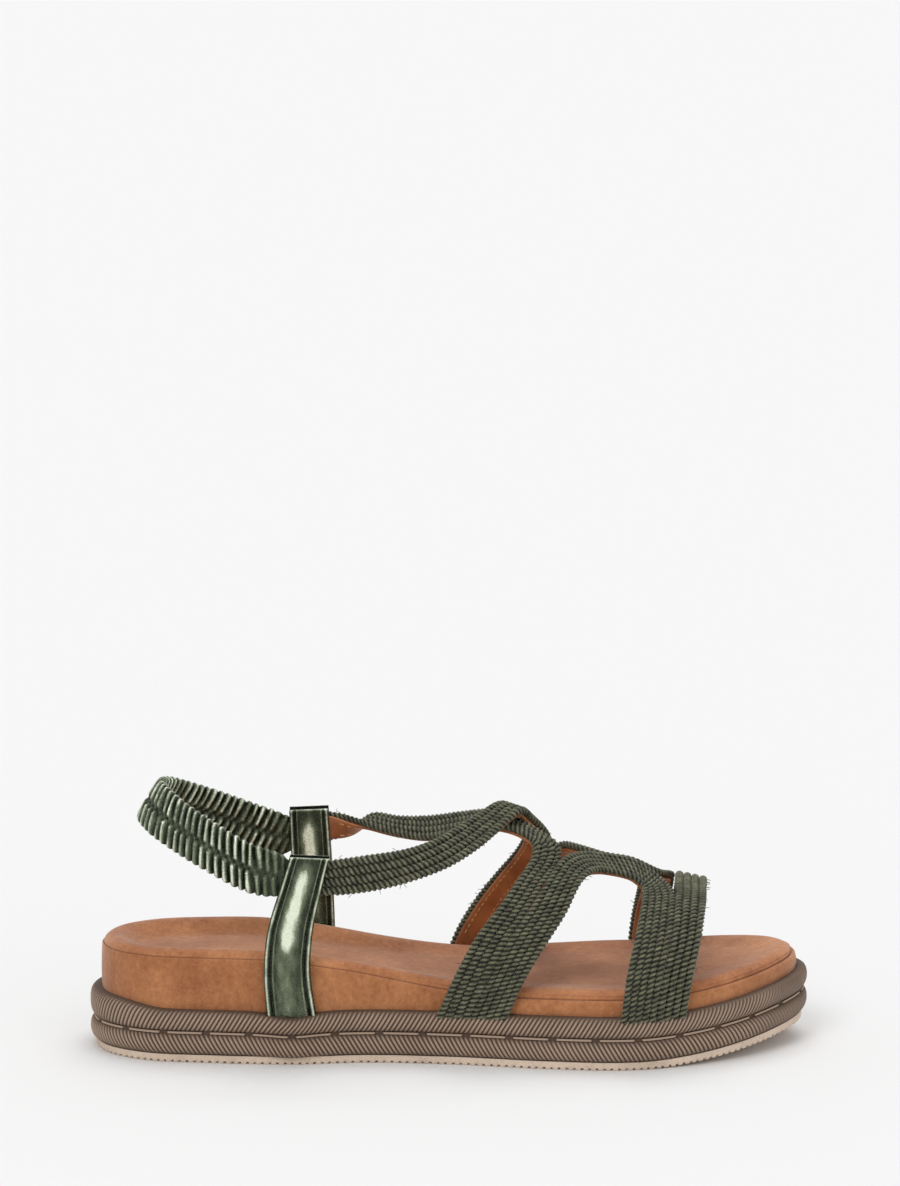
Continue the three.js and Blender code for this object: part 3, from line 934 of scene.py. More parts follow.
class Finishes:
    """The finishes of the sandal, whose materials are each made once."""

    def __init__(self) -> None:
        """Lists the finishes."""
        self.side_suede = Suede("brown_suede", "suede", (0.27, 0.092, 0.036), (0.53, 0.235, 0.1))
        self.sock_suede = Suede("brown_suede_top", "suede", (0.29, 0.102, 0.042), (0.58, 0.262, 0.118))
        self.rope = RopeRubber()
        self.tread = Rubber("beige_outsole_rubber", "outsole", (0.58, 0.45, 0.35), (0.78, 0.63, 0.5), 0.6)
        self.foam = Rubber("pale_foam", "foam", (0.6, 0.56, 0.48), (0.75, 0.7, 0.62), 0.85)
        self.board = Rubber("fibre_board", "board", (0.3, 0.22, 0.13), (0.5, 0.38, 0.25), 0.85)
        self.webbing = Rubber("dark_elastic", "elastic", (0.012, 0.013, 0.01), (0.03, 0.032, 0.026), 0.85)
        self.lining = SmoothLeather()
        self.yarn = TwistedYarn()
        self.metallic = MetallicLeather()
        self.thread = Thread()
        self.lining_thread = Thread("tan_thread", "lining", (0.5, 0.29, 0.12), (0.75, 0.5, 0.25))
        self._made: dict[str, bpy.types.Material] = {}

    def of(self, finish: Finish) -> bpy.types.Material:
        """The finish's material, built at its first use.

        Args:
            finish: one of the finishes.

        Returns:
            Its material.
        """
        if finish.name not in self._made:
            self._made[finish.name] = finish.material()
        return self._made[finish.name]

    def dress(self, piece: Piece, finish: Finish) -> None:
        """Gives a piece its material.

        Args:
            piece: what is dressed.
            finish: its finish.
        """
        piece.data.materials.clear()
        piece.data.materials.append(self.of(finish))


# ---------------------------------------------------------------- sole unit
@dataclass
class SoleUnit:
    """Outsole with a ribbed edge, and the sidewall of two moulded ropes."""

    bench: Workbench
    finishes: Finishes
    rib_pitch: float = 1.64
    rib_depth: float = 0.6
    rib_slant: float = 0.6
    dash_pitch: float = 15.3
    dash_length: float = 13.2
    groove: float = 11
    groove_inset: float = 2.0
    dash_rise: float = 0.95
    lower_rope: tuple[float, float] = (3.2, 10.5)
    upper_rope: tuple[float, float] = (11.5, 18.7)
    rope_bulge: float = 2.3
    rib_columns: int = 7
    toe_fade: tuple[float, float] = (232, 250)
    heel_rise: float = 2.6
    heel_rise_run: tuple[float, float] = (4, 30)
    bump_place: float = 73
    bump_reach: float = 9
    bump_depth: float = 2.4
    inner_inset: float = 8.5
    inner_top: float = 18.0
    tooth_pitch: float = 2.7
    tooth_depth: float = 0.55
    tooth_height: float = 0.95
    tooth_columns: int = 6
    half_outline: float = 330
    tread_pitch: float = 9
    tread_depth: float = 1.1
    tread_run: tuple[float, float] = (21, 192)

    def heel_lift(self, x: np.ndarray) -> np.ndarray:
        """How far the sidewall's top rises round the heel."""
        return self.heel_rise * (1 - smooth(*self.heel_rise_run, x))

    def rope_profile(self) -> list[tuple[float, float, float, float]]:
        """The sidewall's section, from the bottom up.

        Returns:
            For each row its inset, height, rib depth, and the way that its ribs lean, 0 for none.
        """
        lower, upper = [], []
        for rows, (low, high), lean in ((lower, self.lower_rope, 1.0), (upper, self.upper_rope, -1.0)):
            middle, half = (low + high) / 2, (high - low) / 2
            for angle in np.radians(np.linspace(-82, 82, 11)):
                bulge = self.rope_bulge * (1 - math.cos(angle)) ** 1.15
                rows.append((bulge, middle + half * math.sin(angle), math.cos(angle) ** 0.45, lean))
        steps = (-0.42, -0.34, -0.12, 0.12, 0.34, 0.42)
        dash = [(self.groove_inset, self.groove + step, 0.0, 0.0) for step in steps]
        return [*lower, *dash, *upper]

    def rim(self) -> Piece:
        """The sidewall, with slanted ribs on both ropes and dashes in the groove between them.

        Returns:
            The finished piece.
        """
        fine = np.linspace(0, 1, 6001)
        length = run_length(SOLE.outline(fine))
        total = length[-1]
        ribs = round(total / self.rib_pitch)
        dashes = round(total / self.dash_pitch)
        steps = np.arange(self.rib_columns * ribs)
        rib = np.abs(np.sin(math.pi * steps / self.rib_columns)) ** 0.85
        rows = []
        for inset, z, depth, lean in self.rope_profile():
            run = (steps / len(steps) * total - lean * self.rib_slant * (z - self.groove)) % total
            ts = np.interp(run, length, fine)
            flat = SOLE.outline(ts)
            fade = 1 - 0.85 * smooth(*self.toe_fade, flat[:, 0])
            reach = (flat[:, 0] - self.bump_place) / self.bump_reach
            bump = self.bump_depth * np.exp(-(reach**2)) * (flat[:, 1] < 0)
            in_dash = (run / total * dashes) % 1 * self.dash_pitch
            dash = smooth(0, 0.6, in_dash) * smooth(self.dash_length, self.dash_length - 0.6, in_dash)
            dash = dash if abs(z - self.groove) < 0.4 else 0 * dash
            share = float(smooth(12, 18, z))
            rise = share * self.heel_lift(flat[:, 0])
            ribbed = self.rib_depth * depth * fade * (rib - 0.6)
            out = ribbed + bump * (0.45 + 0.4 * share) + self.dash_rise * dash
            ring = SOLE.ring(ts, inset - out, z + rise - 0.5 * bump * (0.45 + share))
            # Painted light: painted highlight on the rib crests and the groove's dashes, painted shade in
            # the rib valleys and the groove; a flat middling value at the toe.
            ridge = depth * (fade * rib + (1 - fade) * 0.6) if lean else 0.2 + 0.75 * dash
            rows.append(np.column_stack([ring, ridge]))
        lip = [
            (SOLE.inset - 0.3, self.upper_rope[1] + 0.2, 1.0),
            (SOLE.inset - 0.1, self.inner_top, 0.0),
            (self.inner_inset, self.inner_top, 0.0),
            (self.inner_inset, self.lower_rope[0], 0.0),
        ]
        for inset, z, share in lip:
            ring = SOLE.ring(ts, inset, z + self.heel_lift(flat[:, 0]) * share - 0.7 * bump * share)
            # The lip rows get a low value, the dark painted shade colour.
            rows.append(np.column_stack([ring, np.full(len(ts), 0.1)]))
        piece = self.bench.skin("rope_sidewall", np.stack(rows), around=True, ring=True)
        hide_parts("sidewall_rim")
        self.finishes.dress(piece, self.finishes.rope)
        return piece

    def outsole(self) -> Piece:
        """The outsole, with teeth round its lower edge and cross grooves underneath.

        Returns:
            The finished piece.
        """
        count = 2 * round(self.half_outline / self.tooth_pitch * self.tooth_columns)
        ts = SOLE.places(count)
        flat = SOLE.outline(ts)
        run = run_length(np.vstack([flat, flat[:1]]))
        total, run = run[-1], run[:-1]
        teeth = round(total / self.tooth_pitch)
        in_tooth = (run / total * teeth) % 1
        notch = smooth(0.6, 0.72, in_tooth) * smooth(1.0, 0.9, in_tooth)
        sides = ((4.2, 0.0), (2.2, 0.0), (1.9, 0.25), (1.85, 0.7), (1.8, 0.95), (1.7, 2.9))
        rings = []
        for inset, z in sides:
            share = max(0.0, 1 - z / self.tooth_height)
            ring = SOLE.ring(ts, inset + (0.5 * notch if 0 < share and inset < 4 else 0), z)
            ring[:, 2] += self.tooth_depth * share * notch
            rings.append(ring)

        def tread(points: np.ndarray) -> np.ndarray:
            """Cuts the cross grooves into the underside.

            Args:
                points: points of the underside.

            Returns:
                The points with the grooves cut.
            """
            x = points[..., 0]
            start, end = self.tread_run
            in_groove = (x - start) % self.tread_pitch
            groove = np.minimum(smooth(0, 0.3, in_groove), smooth(2.3, 2.0, in_groove))
            cut = points.copy()
            cut[..., 2] = SOLE.lift(x) + self.tread_depth * groove * (x > start) * (x < end)
            return cut

        piece = self.bench.plate("beige_outsole", rings, across=10, shape=tread)
        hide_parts("outsole")
        self.finishes.dress(piece, self.finishes.tread)
        return piece

    def build(self) -> None:
        """Builds both pieces and puts them on the shoe."""
        for piece in (self.rim(), self.outsole()):
            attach(piece, Body.SHOE.value)
            self.bench.log(piece)


# ---------------------------------------------------------------- footbed
@dataclass
class Footbed:
    """The footbed's suede side and suede top."""

    bench: Workbench
    finishes: Finishes
    columns: int = 480
    band_bottom: float = 18.4
    turned_in: float = 2.9

    @staticmethod
    def roll(x: np.ndarray) -> tuple[np.ndarray, np.ndarray]:
        """Half width and height of the side band's rounded top, larger at the forefoot."""
        forefoot = forefoot_share(x)
        return 0.45 + 0.6 * forefoot, 0.6 + 1.1 * forefoot

    def below_top(self, x: np.ndarray, share: float) -> np.ndarray:
        """Height of the side's top less a share of its rounded top's height."""
        return SOLE.side_top(x) - share * self.roll(x)[1]

    def side(self) -> Piece:
        """The suede band round the footbed, turned in under the top cover.

        Returns:
            The finished piece.
        """
        ts = SOLE.places(self.columns)
        flat = SOLE.outline(ts)
        run = run_length(flat)
        wave = 0.12 * np.sin(run / 7.3) + 0.08 * np.sin(run / 3.1 + 1)
        low = self.band_bottom
        half, _ = self.roll(flat[:, 0])
        rows = [SOLE.ring(ts, SOLE.inset + self.turned_in, low)]
        for share in np.linspace(0, 1, 10):
            bulge = 0.35 * math.sin(math.pi * share) - wave * share * (1 - share) * 2
            inset = SOLE.inset - bulge
            rows.append(SOLE.ring(ts, inset, lambda x, s=share: low + (self.below_top(x, 1) - low) * s))
        for angle in np.radians((20, 40, 60, 80, 100, 120, 140, 155)):
            inset = SOLE.inset + half * (1 - math.cos(angle))
            rows.append(SOLE.ring(ts, inset, lambda x, a=angle: self.below_top(x, 1 - math.sin(a))))
        rows.append(SOLE.ring(ts, SOLE.inset + self.turned_in, lambda x: SOLE.side_top(x) - 1.6))
        piece = self.bench.skin("suede_side_band", np.stack(rows), around=True, ring=True)
        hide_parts("footbed_side_wrap")
        self.finishes.dress(piece, self.finishes.side_suede)
        return piece

    def top(self) -> Piece:
        """The suede top, rolled over the shoulder and dished for the foot.

        Returns:
            The finished piece.
        """
        ts = SOLE.places(self.columns)
        rings = []
        for step in (15, 9, 5, 2):
            surface = SOLE.surface(step)
            rings.append(SOLE.ring(ts, SOLE.inset + max(step, 2), lambda x, s=surface: s(x) - 1.1))
        half, _ = self.roll(SOLE.outline(ts)[:, 0])
        lap = 1.9 * half - 0.15
        for inwards, sink in ((1.0, 0.9), (0.6, 0.62), (0.25, 0.35), (0.05, 0.0)):
            rings.append(SOLE.ring(ts, SOLE.inset + lap + inwards, lambda x, d=sink: self.below_top(x, d)))
        rings.append(SOLE.ring(ts, SOLE.inset + lap - 0.05, lambda x: SOLE.side_top(x) + 0.5))
        for step in (0.15, 0.5, 0.9, 1.4, 2.1, 2.9, 3.8, 4.8, 6, 7.2, 8.6, 10, 11.5, 13, 14.5, 16, 17.5):
            rings.append(SOLE.ring(ts, SOLE.inset + lap + step, SOLE.surface(step)))
        piece = self.bench.plate("suede_footbed_top", rings, across=16)
        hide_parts("footbed_sock")
        self.finishes.dress(piece, self.finishes.sock_suede)
        return piece

    def build(self) -> None:
        """Builds both pieces and puts them on the shoe."""
        for piece in (self.side(), self.top()):
            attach(piece, Body.SHOE.value)
            self.bench.log(piece)


# ---------------------------------------------------------------- cord tapes
STRAP_FOOT = 17.4
CORD_STAND = 3.3
ANKLE_STAND = 1.75


def foot(first: float, second: float, side: Side, stand: float = CORD_STAND) -> Station:
    """A station where a strap goes down between the footbed's side and the sidewall."""
    points = [SOLE.beside_footbed(x, side, stand, STRAP_FOOT + float(SOLE.lift(x))) for x in (first, second)]
    return (*points[0], *points[1])


@dataclass
class CordTape:
    """Twisted cords sewn side by side on a strip of lining leather."""

    bench: Workbench
    finishes: Finishes
    name: str
    turn: int
    stations: Sequence[Station]
    cords: int = 4
    ply_radius: float = 0.9
    ply_centre: float = 0.42
    plain_pitch: float = 2.5
    overhang: float = 0.45
    fray_count: int = 26
    lay: float = 3.7
    ring_step: float = 0.42
    lining_top: float = -1.25
    lining_thickness: float = 1.2
    lining_start: float = 0.0
    stitch_pitch: float = 2.6
    band: Band = field(init=False)

    def __post_init__(self) -> None:
        """Lays out the tape's band."""
        self.band = Band(self.stations, self.turn)

    def ply(self, number: int, phase: float) -> Piece:
        """One of the two plies of a cord, as a tube wound round the cord's middle line.

        Args:
            number: the cord's number across the tape, from 0.
            phase: where its winding starts, in radians.

        Returns:
            The ply.
        """
        ts = self.band.even(self.ring_step)
        first, across, out = self.band.frames(ts)
        width = self.band.width(ts)
        spread = (1 + 2 * self.overhang / width)[:, None]
        middle = first + across * (0.5 + ((number + 0.5) / self.cords - 0.5) * spread)
        sideways = np.cross(unit(np.gradient(middle, axis=0)), out)
        size = ((width + 2 * self.overhang) / self.cords / self.plain_pitch * 1.03)[:, None]
        turn = (2 * math.pi * run_length(middle) / self.lay + phase)[:, None]
        centre = middle + self.ply_centre * size * (np.cos(turn) * out + np.sin(turn) * sideways)
        angles = np.linspace(0, 2 * math.pi, 8, endpoint=False)[None, :, None]
        rows = centre[:, None] + self.ply_radius * size[:, None] * (
            np.cos(angles) * out[:, None] + np.sin(angles) * sideways[:, None]
        )
        # Painted light: points near the cord's middle, where the plies meet, get painted shade; the plies'
        # outer crests get painted highlight.
        reach = np.linalg.norm(rows - middle[:, None], axis=2) / size / (self.ply_radius + self.ply_centre)
        rows = np.concatenate([rows, smooth(0.55, 1.0, reach)[..., None]], axis=2)
        return self.bench.skin(self.name, rows, around=True)

    def cord(self, number: int) -> Piece:
        """One cord of two plies.

        Args:
            number: the cord's number across the tape, from 0.

        Returns:
            The finished piece.
        """
        start = 1.9 * number
        plies = [self.ply(number, start), self.ply(number, start + math.pi)]
        piece = self.bench.join(f"{self.name}_twisted_cord_{number + 1}", plies)
        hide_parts(f"{self.name}_cord_{number + 1}")
        self.finishes.dress(piece, self.finishes.yarn)
        return piece

    def lining(self) -> Piece:
        """The strip of lining leather, with rounded edges.

        Returns:
            The finished piece.
        """
        top, bottom = self.lining_top, self.lining_top - self.lining_thickness
        low, high = 0.07, 0.93
        section = [
            (low, (top + bottom) / 2), (low + 0.02, top - 0.15), (low + 0.05, top),
            (0.3, top), (0.5, top), (0.7, top),
            (high - 0.05, top), (high - 0.02, top - 0.15), (high, (top + bottom) / 2),
            (high - 0.02, bottom + 0.15), (high - 0.05, bottom),
            (0.7, bottom), (0.5, bottom), (0.3, bottom),
            (low + 0.05, bottom), (low + 0.02, bottom + 0.15),
        ]
        shares, heights = np.array(section).T
        rows = self.band.surface(self.band.even(1.0, self.lining_start), shares, heights)
        piece = self.bench.skin(f"{self.name}_lining_strip", rows, around=True)
        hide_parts(f"{self.name}_lining")
        self.finishes.dress(piece, self.finishes.lining)
        return piece

    def thread_rows(self) -> Piece:
        """Two rows of pale stitches on the lining's inner face.

        Returns:
            The finished piece.
        """
        places = self.band.even(self.stitch_pitch, 0.1, 0.93)
        height = self.lining_top - self.lining_thickness - 0.02
        seams = [self.band.seam(places, share, height, -1) for share in (0.24, 0.76)]
        piece = stitches(self.bench, f"{self.name}_lining_stitches", seams, 1.7, 0.42)
        self.finishes.dress(piece, self.finishes.lining_thread)
        return piece

    def frays(self) -> Piece:
        """A few short fibres that stand out of the tape's edges.

        Returns:
            The finished piece.
        """
        random = np.random.default_rng(len(self.name) + self.cords)
        places = np.sort(random.uniform(0.08, 0.92, self.fray_count))
        first, across, out = self.band.frames(places)
        far = random.random(self.fray_count)[:, None] > 0.5
        sideways = unit(across) * np.where(far, 1, -1)
        along = unit(self.band.middle(places + 0.01) - self.band.middle(places))
        raised = out * random.uniform(-0.6, 0.6, (self.fray_count, 1))
        centres = first + across * far + sideways + raised
        lie = unit(sideways + along * random.uniform(-1.2, 1.2, (self.fray_count, 1)))
        seams = [(centres, lie, unit(np.cross(lie, along)))]
        piece = stitches(self.bench, f"{self.name}_stray_fibres", seams, 2.1, 0.2)
        self.finishes.dress(piece, self.finishes.yarn)
        return piece

    def build(self) -> None:
        """Builds the tape and puts it on the shoe."""
        cords = (self.cord(number) for number in range(self.cords))
        for piece in (self.lining(), self.thread_rows(), self.frays(), *cords):
            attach(piece, Body.SHOE.value)
            self.bench.log(piece)


def tapes(bench: Workbench, finishes: Finishes) -> list[CordTape]:
    """The five tapes of the upper, with their routes.

    Args:
        bench: the workbench.
        finishes: the finishes.

    Returns:
        The tapes from the ankle to the toe.
    """
    outer, inner = Side.LATERAL, Side.MEDIAL
    return [
        CordTape(bench, finishes, "instep_lateral", 1, [
            (80.9, -31.6, 72.6, 80.9, -31.9, 61.6),
            (87, -31.4, 73, 87, -32.2, 61.3),
            (100, -30.5, 74.6, 101, -32.6, 62.8),
            (112, -27.5, 75.8, 115, -31, 65.8),
            (122, -21.5, 77.6, 128.5, -27, 70.2),
            (131, -13.5, 80.6, 139, -20.3, 75.6),
            (139.5, -5, 84.2, 147.5, -12, 81.2),
            (146.5, 3.5, 86.2, 154.5, -4, 85.2),
            (151.6, 9, 83.2, 158.8, 3, 81),
            (155.2, 13.2, 77.4, 163.6, 8.6, 75),
            (155.8, 17.2, 71.8, 165.2, 13.6, 69.6),
            (153, 23, 65, 162.3, 20.3, 63.8),
            (145.5, 29, 54.5, 155.6, 28.6, 54),
            (138.5, 32.9, 44.5, 149, 34.2, 44.2),
            (131.5, 36, 32, 142.8, 37.8, 32),
            foot(126, 137.7, inner),
        ], lining_start=0.02),
        CordTape(bench, finishes, "instep_medial", -1, [
            (79, 31.6, 77, 79, 31.9, 67.3),
            (85, 31.4, 77.2, 85, 32.3, 67),
            (92.5, 29, 75.8, 92.5, 36, 68.8),
            (100, 26.5, 73.2, 100.5, 36.4, 75.2),
            (109, 22, 71.4, 110.5, 31.4, 75.4),
            (119, 16.5, 70.6, 122, 24.8, 77),
            (129, 9.5, 73.5, 134, 17.5, 80),
            (138, 2, 78, 144, 9.8, 82.2),
            (146, -5, 79.9, 152.5, 3, 80.9),
            (153.5, -9, 78.8, 161.3, -2.8, 77),
            (158.5, -12.3, 75.6, 167.5, -6.5, 72.9),
            (158.3, -16, 71.2, 167.8, -11.8, 68.8),
            (153, -23.5, 64.3, 162.3, -21.3, 63.2),
            (145.5, -28.8, 54.5, 155.8, -29.4, 54.2),
            (138.3, -31.8, 45.4, 149.1, -33.7, 45),
            (131, -34.2, 32.5, 142.4, -36.2, 32.3),
            foot(124.4, 135.6, outer),
        ], lining_start=0.02),
        CordTape(bench, finishes, "centre_lateral", 1, [
            foot(136.4, 148.6, outer),
            (143.2, -35.7, 32.3, 155, -37.3, 32),
            (149.8, -33.9, 45, 163, -34.6, 44.8),
            (156.6, -29.8, 54.2, 169.5, -30, 54),
            (163.1, -21.7, 62.9, 174.8, -24, 63.4),
            (168.7, -13.5, 69.3, 178.5, -18.5, 66),
            (175.5, -4.9, 70, 183, -12.4, 65.4),
            (184, -0.6, 68.4, 188, -10.1, 64.2),
            (194, -0.6, 66.6, 194.3, -11, 62.3),
            (203.4, -4.2, 61.4, 197.6, -13.6, 59.6),
            (208.2, -14.2, 57.9, 197.3, -19.8, 57),
            (207.6, -25.4, 53.6, 196.2, -27, 53.2),
            (206, -35, 45.3, 194, -35.6, 45.3),
            (203.2, -39.8, 34.3, 191.2, -40.8, 34),
            foot(200.6, 188.9, outer),
        ], cords=5),
        CordTape(bench, finishes, "centre_medial", -1, [
            foot(138.5, 152, inner),
            (143.6, 37.6, 32, 157, 39.6, 32),
            (149.8, 34.9, 44.2, 163.2, 35.8, 44.2),
            (156.4, 29.2, 54, 169.5, 30, 54),
            (163.1, 21, 62.8, 174.8, 23.6, 63.6),
            (168.7, 13.5, 69.3, 178.5, 18.5, 66),
            (175.5, 4.9, 70, 183, 12.4, 65.4),
            (184, 0.6, 68.4, 188, 10.1, 64.2),
            (194, 0.6, 66.6, 194.3, 11, 62.3),
            (203.8, 4.2, 61.4, 198.1, 13.6, 59.6),
            (209.4, 15.2, 57.9, 198.8, 20.8, 57),
            (210.3, 28, 54, 198.9, 29.4, 53.7),
            (210.2, 39.4, 46.3, 198.2, 40.2, 46.3),
            (208.5, 46.8, 34.6, 196.4, 47.6, 34.6),
            foot(207, 194.7, inner),
        ], cords=5),
        CordTape(bench, finishes, "toe", 1, [
            foot(201.3, 211.3, outer),
            (203.9, -39.6, 34.3, 213.9, -37.2, 33.6),
            (206.7, -34.9, 45.3, 216.7, -32.9, 44.4),
            (208.3, -25.2, 53.6, 218.5, -23.8, 52.2),
            (209.4, -13, 57.9, 219.7, -12.2, 55.7),
            (210.1, 0.5, 58.9, 220.4, 0.5, 56.4),
            (211, 14.5, 57.9, 221.3, 13.8, 55.7),
            (211.7, 28, 54, 222.3, 26.7, 52.4),
            (211.7, 39.3, 46.3, 222.4, 37.8, 45),
            (210, 46.8, 34.6, 220.7, 45.4, 34),
            foot(207.7, 218.3, inner),
        ]),
    ]


# ---------------------------------------------------------------- ankle straps
@dataclass
class AnkleStrap:
    """Two layers of metallic leather with piped, double-stitched edges."""

    bench: Workbench
    finishes: Finishes
    side: Side
    turn: int
    stations: Sequence[Station]
    thickness: float = 1.1
    pipe: float = 0.9
    crown: float = 0.35
    sunk: float = 0.3
    closed_half: float = 0.68
    opening: float = 2.2
    opening_run: tuple[float, float] = (0.42, 0.62)
    stitch_pitch: float = 1.5
    edge_shares: tuple[float, ...] = (
        0.0, 0.006, 0.02, 0.04, 0.065, 0.09, 0.11, 0.125, 0.135, 0.15, 0.165, 0.18, 0.195, 0.215, 0.24,
        0.3, 0.4, 0.5,
    )
    band: Band = field(init=False)

    def __post_init__(self) -> None:
        """Lays out the strap's band."""
        self.band = Band(self.stations, self.turn)

    def half_gap(self, ts: np.ndarray) -> np.ndarray:
        """Half the distance between the two layers' middles, wider round the strap ends that they hold."""
        return self.closed_half + self.opening * smooth(*self.opening_run, ts)

    def face(self, shares: np.ndarray) -> np.ndarray:
        """Height of the visible face, which has piped edges, stitched gutters and a crowned middle.

        Args:
            shares: shares of the width.

        Returns:
            A height for each share.
        """
        edge = np.minimum(shares, 1 - shares)
        pipe = self.pipe * np.sqrt(np.maximum(0, 1 - ((edge - 0.065) / 0.067) ** 2))
        second = 0.55 * self.pipe * np.exp(-(((edge - 0.19) / 0.028) ** 2))
        return np.maximum(pipe, second) + self.crown * smooth(0.2, 0.5, edge) - 0.15

    def painted_highlight(self, ts: np.ndarray, shares: np.ndarray) -> np.ndarray:
        """Painted highlight on the foil: a band along the middle, the piped edges, the foot and the folded
        top.

        Args:
            ts: places along the strap.
            shares: shares of its width.

        Returns:
            The painted highlight, one row for each place.
        """
        shine = np.exp(-(((shares - 0.47) / 0.19) ** 2))
        along = 0.25 + 0.95 * smooth(0.34, 0.44, ts) * smooth(0.99, 0.8, ts)
        edge = np.minimum(shares, 1 - shares)
        piped = 0.95 * np.exp(-(((edge - 0.05) / 0.03) ** 2)) + 0.6 * np.exp(-(((edge - 0.19) / 0.02) ** 2))
        foot_shine = 0.25 * smooth(0.42, 0.34, ts)[:, None] * (edge > 0.2)
        visible = np.maximum(np.outer(along, shine), piped) + foot_shine
        return np.maximum(visible, 0.9 * smooth(0.983, 0.992, ts)[:, None])

    def layer(self, outer: bool) -> Piece:
        """One layer of the strap.

        Args:
            outer: whether it is the layer away from the foot.

        Returns:
            The finished piece.
        """
        ts = self.band.even(0.8)
        edge = np.array(self.edge_shares)
        shares = np.concatenate([edge, 1 - edge[-2::-1]])
        sign = 1 if outer else -1
        fold = 1 - 0.9 * smooth(0.985, 1, ts)[:, None]
        face = self.face(shares) * fold + self.thickness / 2 - self.sunk
        back = np.full(face.shape, -self.thickness / 2)
        heights = sign * np.concatenate([face, back], axis=1) + sign * self.half_gap(ts)[:, None]
        points = self.band.surface(ts, np.concatenate([shares, shares[::-1]]), heights)
        # The face carries the painted highlight; the back is given 0, painted shade.
        ridge = np.concatenate([self.painted_highlight(ts, shares), np.zeros((len(ts), len(shares)))], axis=1)
        label = "outer" if outer else "inner"
        rows = np.concatenate([points, ridge[..., None]], axis=2)
        piece = self.bench.skin(f"ankle_leather_{self.side.name.lower()}_{label}", rows, around=True)
        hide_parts(f"ankle_strap_{self.side.name.lower()}_{label}")
        self.finishes.dress(piece, self.finishes.metallic)
        return piece

    def thread_rows(self) -> Piece:
        """Stitches in the gutter beside each pipe, on both faces of the strap.

        Returns:
            The finished piece.
        """
        places = self.band.even(self.stitch_pitch, 0.06, 0.985)
        raised = self.thickness / 2 - self.sunk + self.half_gap(places)
        seams = [
            self.band.seam(places, share, sign * (raised + self.face(np.array([share]))), sign)
            for sign in (1, -1)
            for share in (0.14, 0.235, 0.765, 0.86)
        ]
        piece = stitches(self.bench, f"ankle_stitching_{self.side.name.lower()}", seams, 1.1, 0.34)
        self.finishes.dress(piece, self.finishes.thread)
        return piece

    def build(self) -> None:
        """Builds the strap and puts it on the shoe."""
        for piece in (self.layer(True), self.layer(False), self.thread_rows()):
            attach(piece, Body.SHOE.value)
            self.bench.log(piece)


def ankle_straps(bench: Workbench, finishes: Finishes) -> list[AnkleStrap]:
    """The two ankle straps, with their places on the shoe.

    Args:
        bench: the workbench.
        finishes: the finishes.

    Returns:
        The outer side's strap, then the inner side's.
    """
    return [
        AnkleStrap(bench, finishes, Side.LATERAL, 1, [
            foot(64.5, 82, Side.LATERAL, ANKLE_STAND),
            (63.6, -32.9, 33, 80, -33, 33),
            (64.9, -33, 48, 80.9, -33, 48),
            (69.8, -32.3, 64.5, 84.3, -32.3, 64),
            (73, -31.8, 75, 86.8, -31.8, 74.4),
        ]),
        AnkleStrap(bench, finishes, Side.MEDIAL, -1, [
            foot(71.6, 86.8, Side.MEDIAL, ANKLE_STAND),
            (71.8, 30.4, 33, 86.9, 30.4, 33),
            (71.6, 31.4, 48, 86.4, 31.4, 48),
            (70.9, 32, 66, 85.4, 32, 66),
            (70.4, 31.8, 78.6, 84.6, 31.8, 79.2),
        ]),
    ]


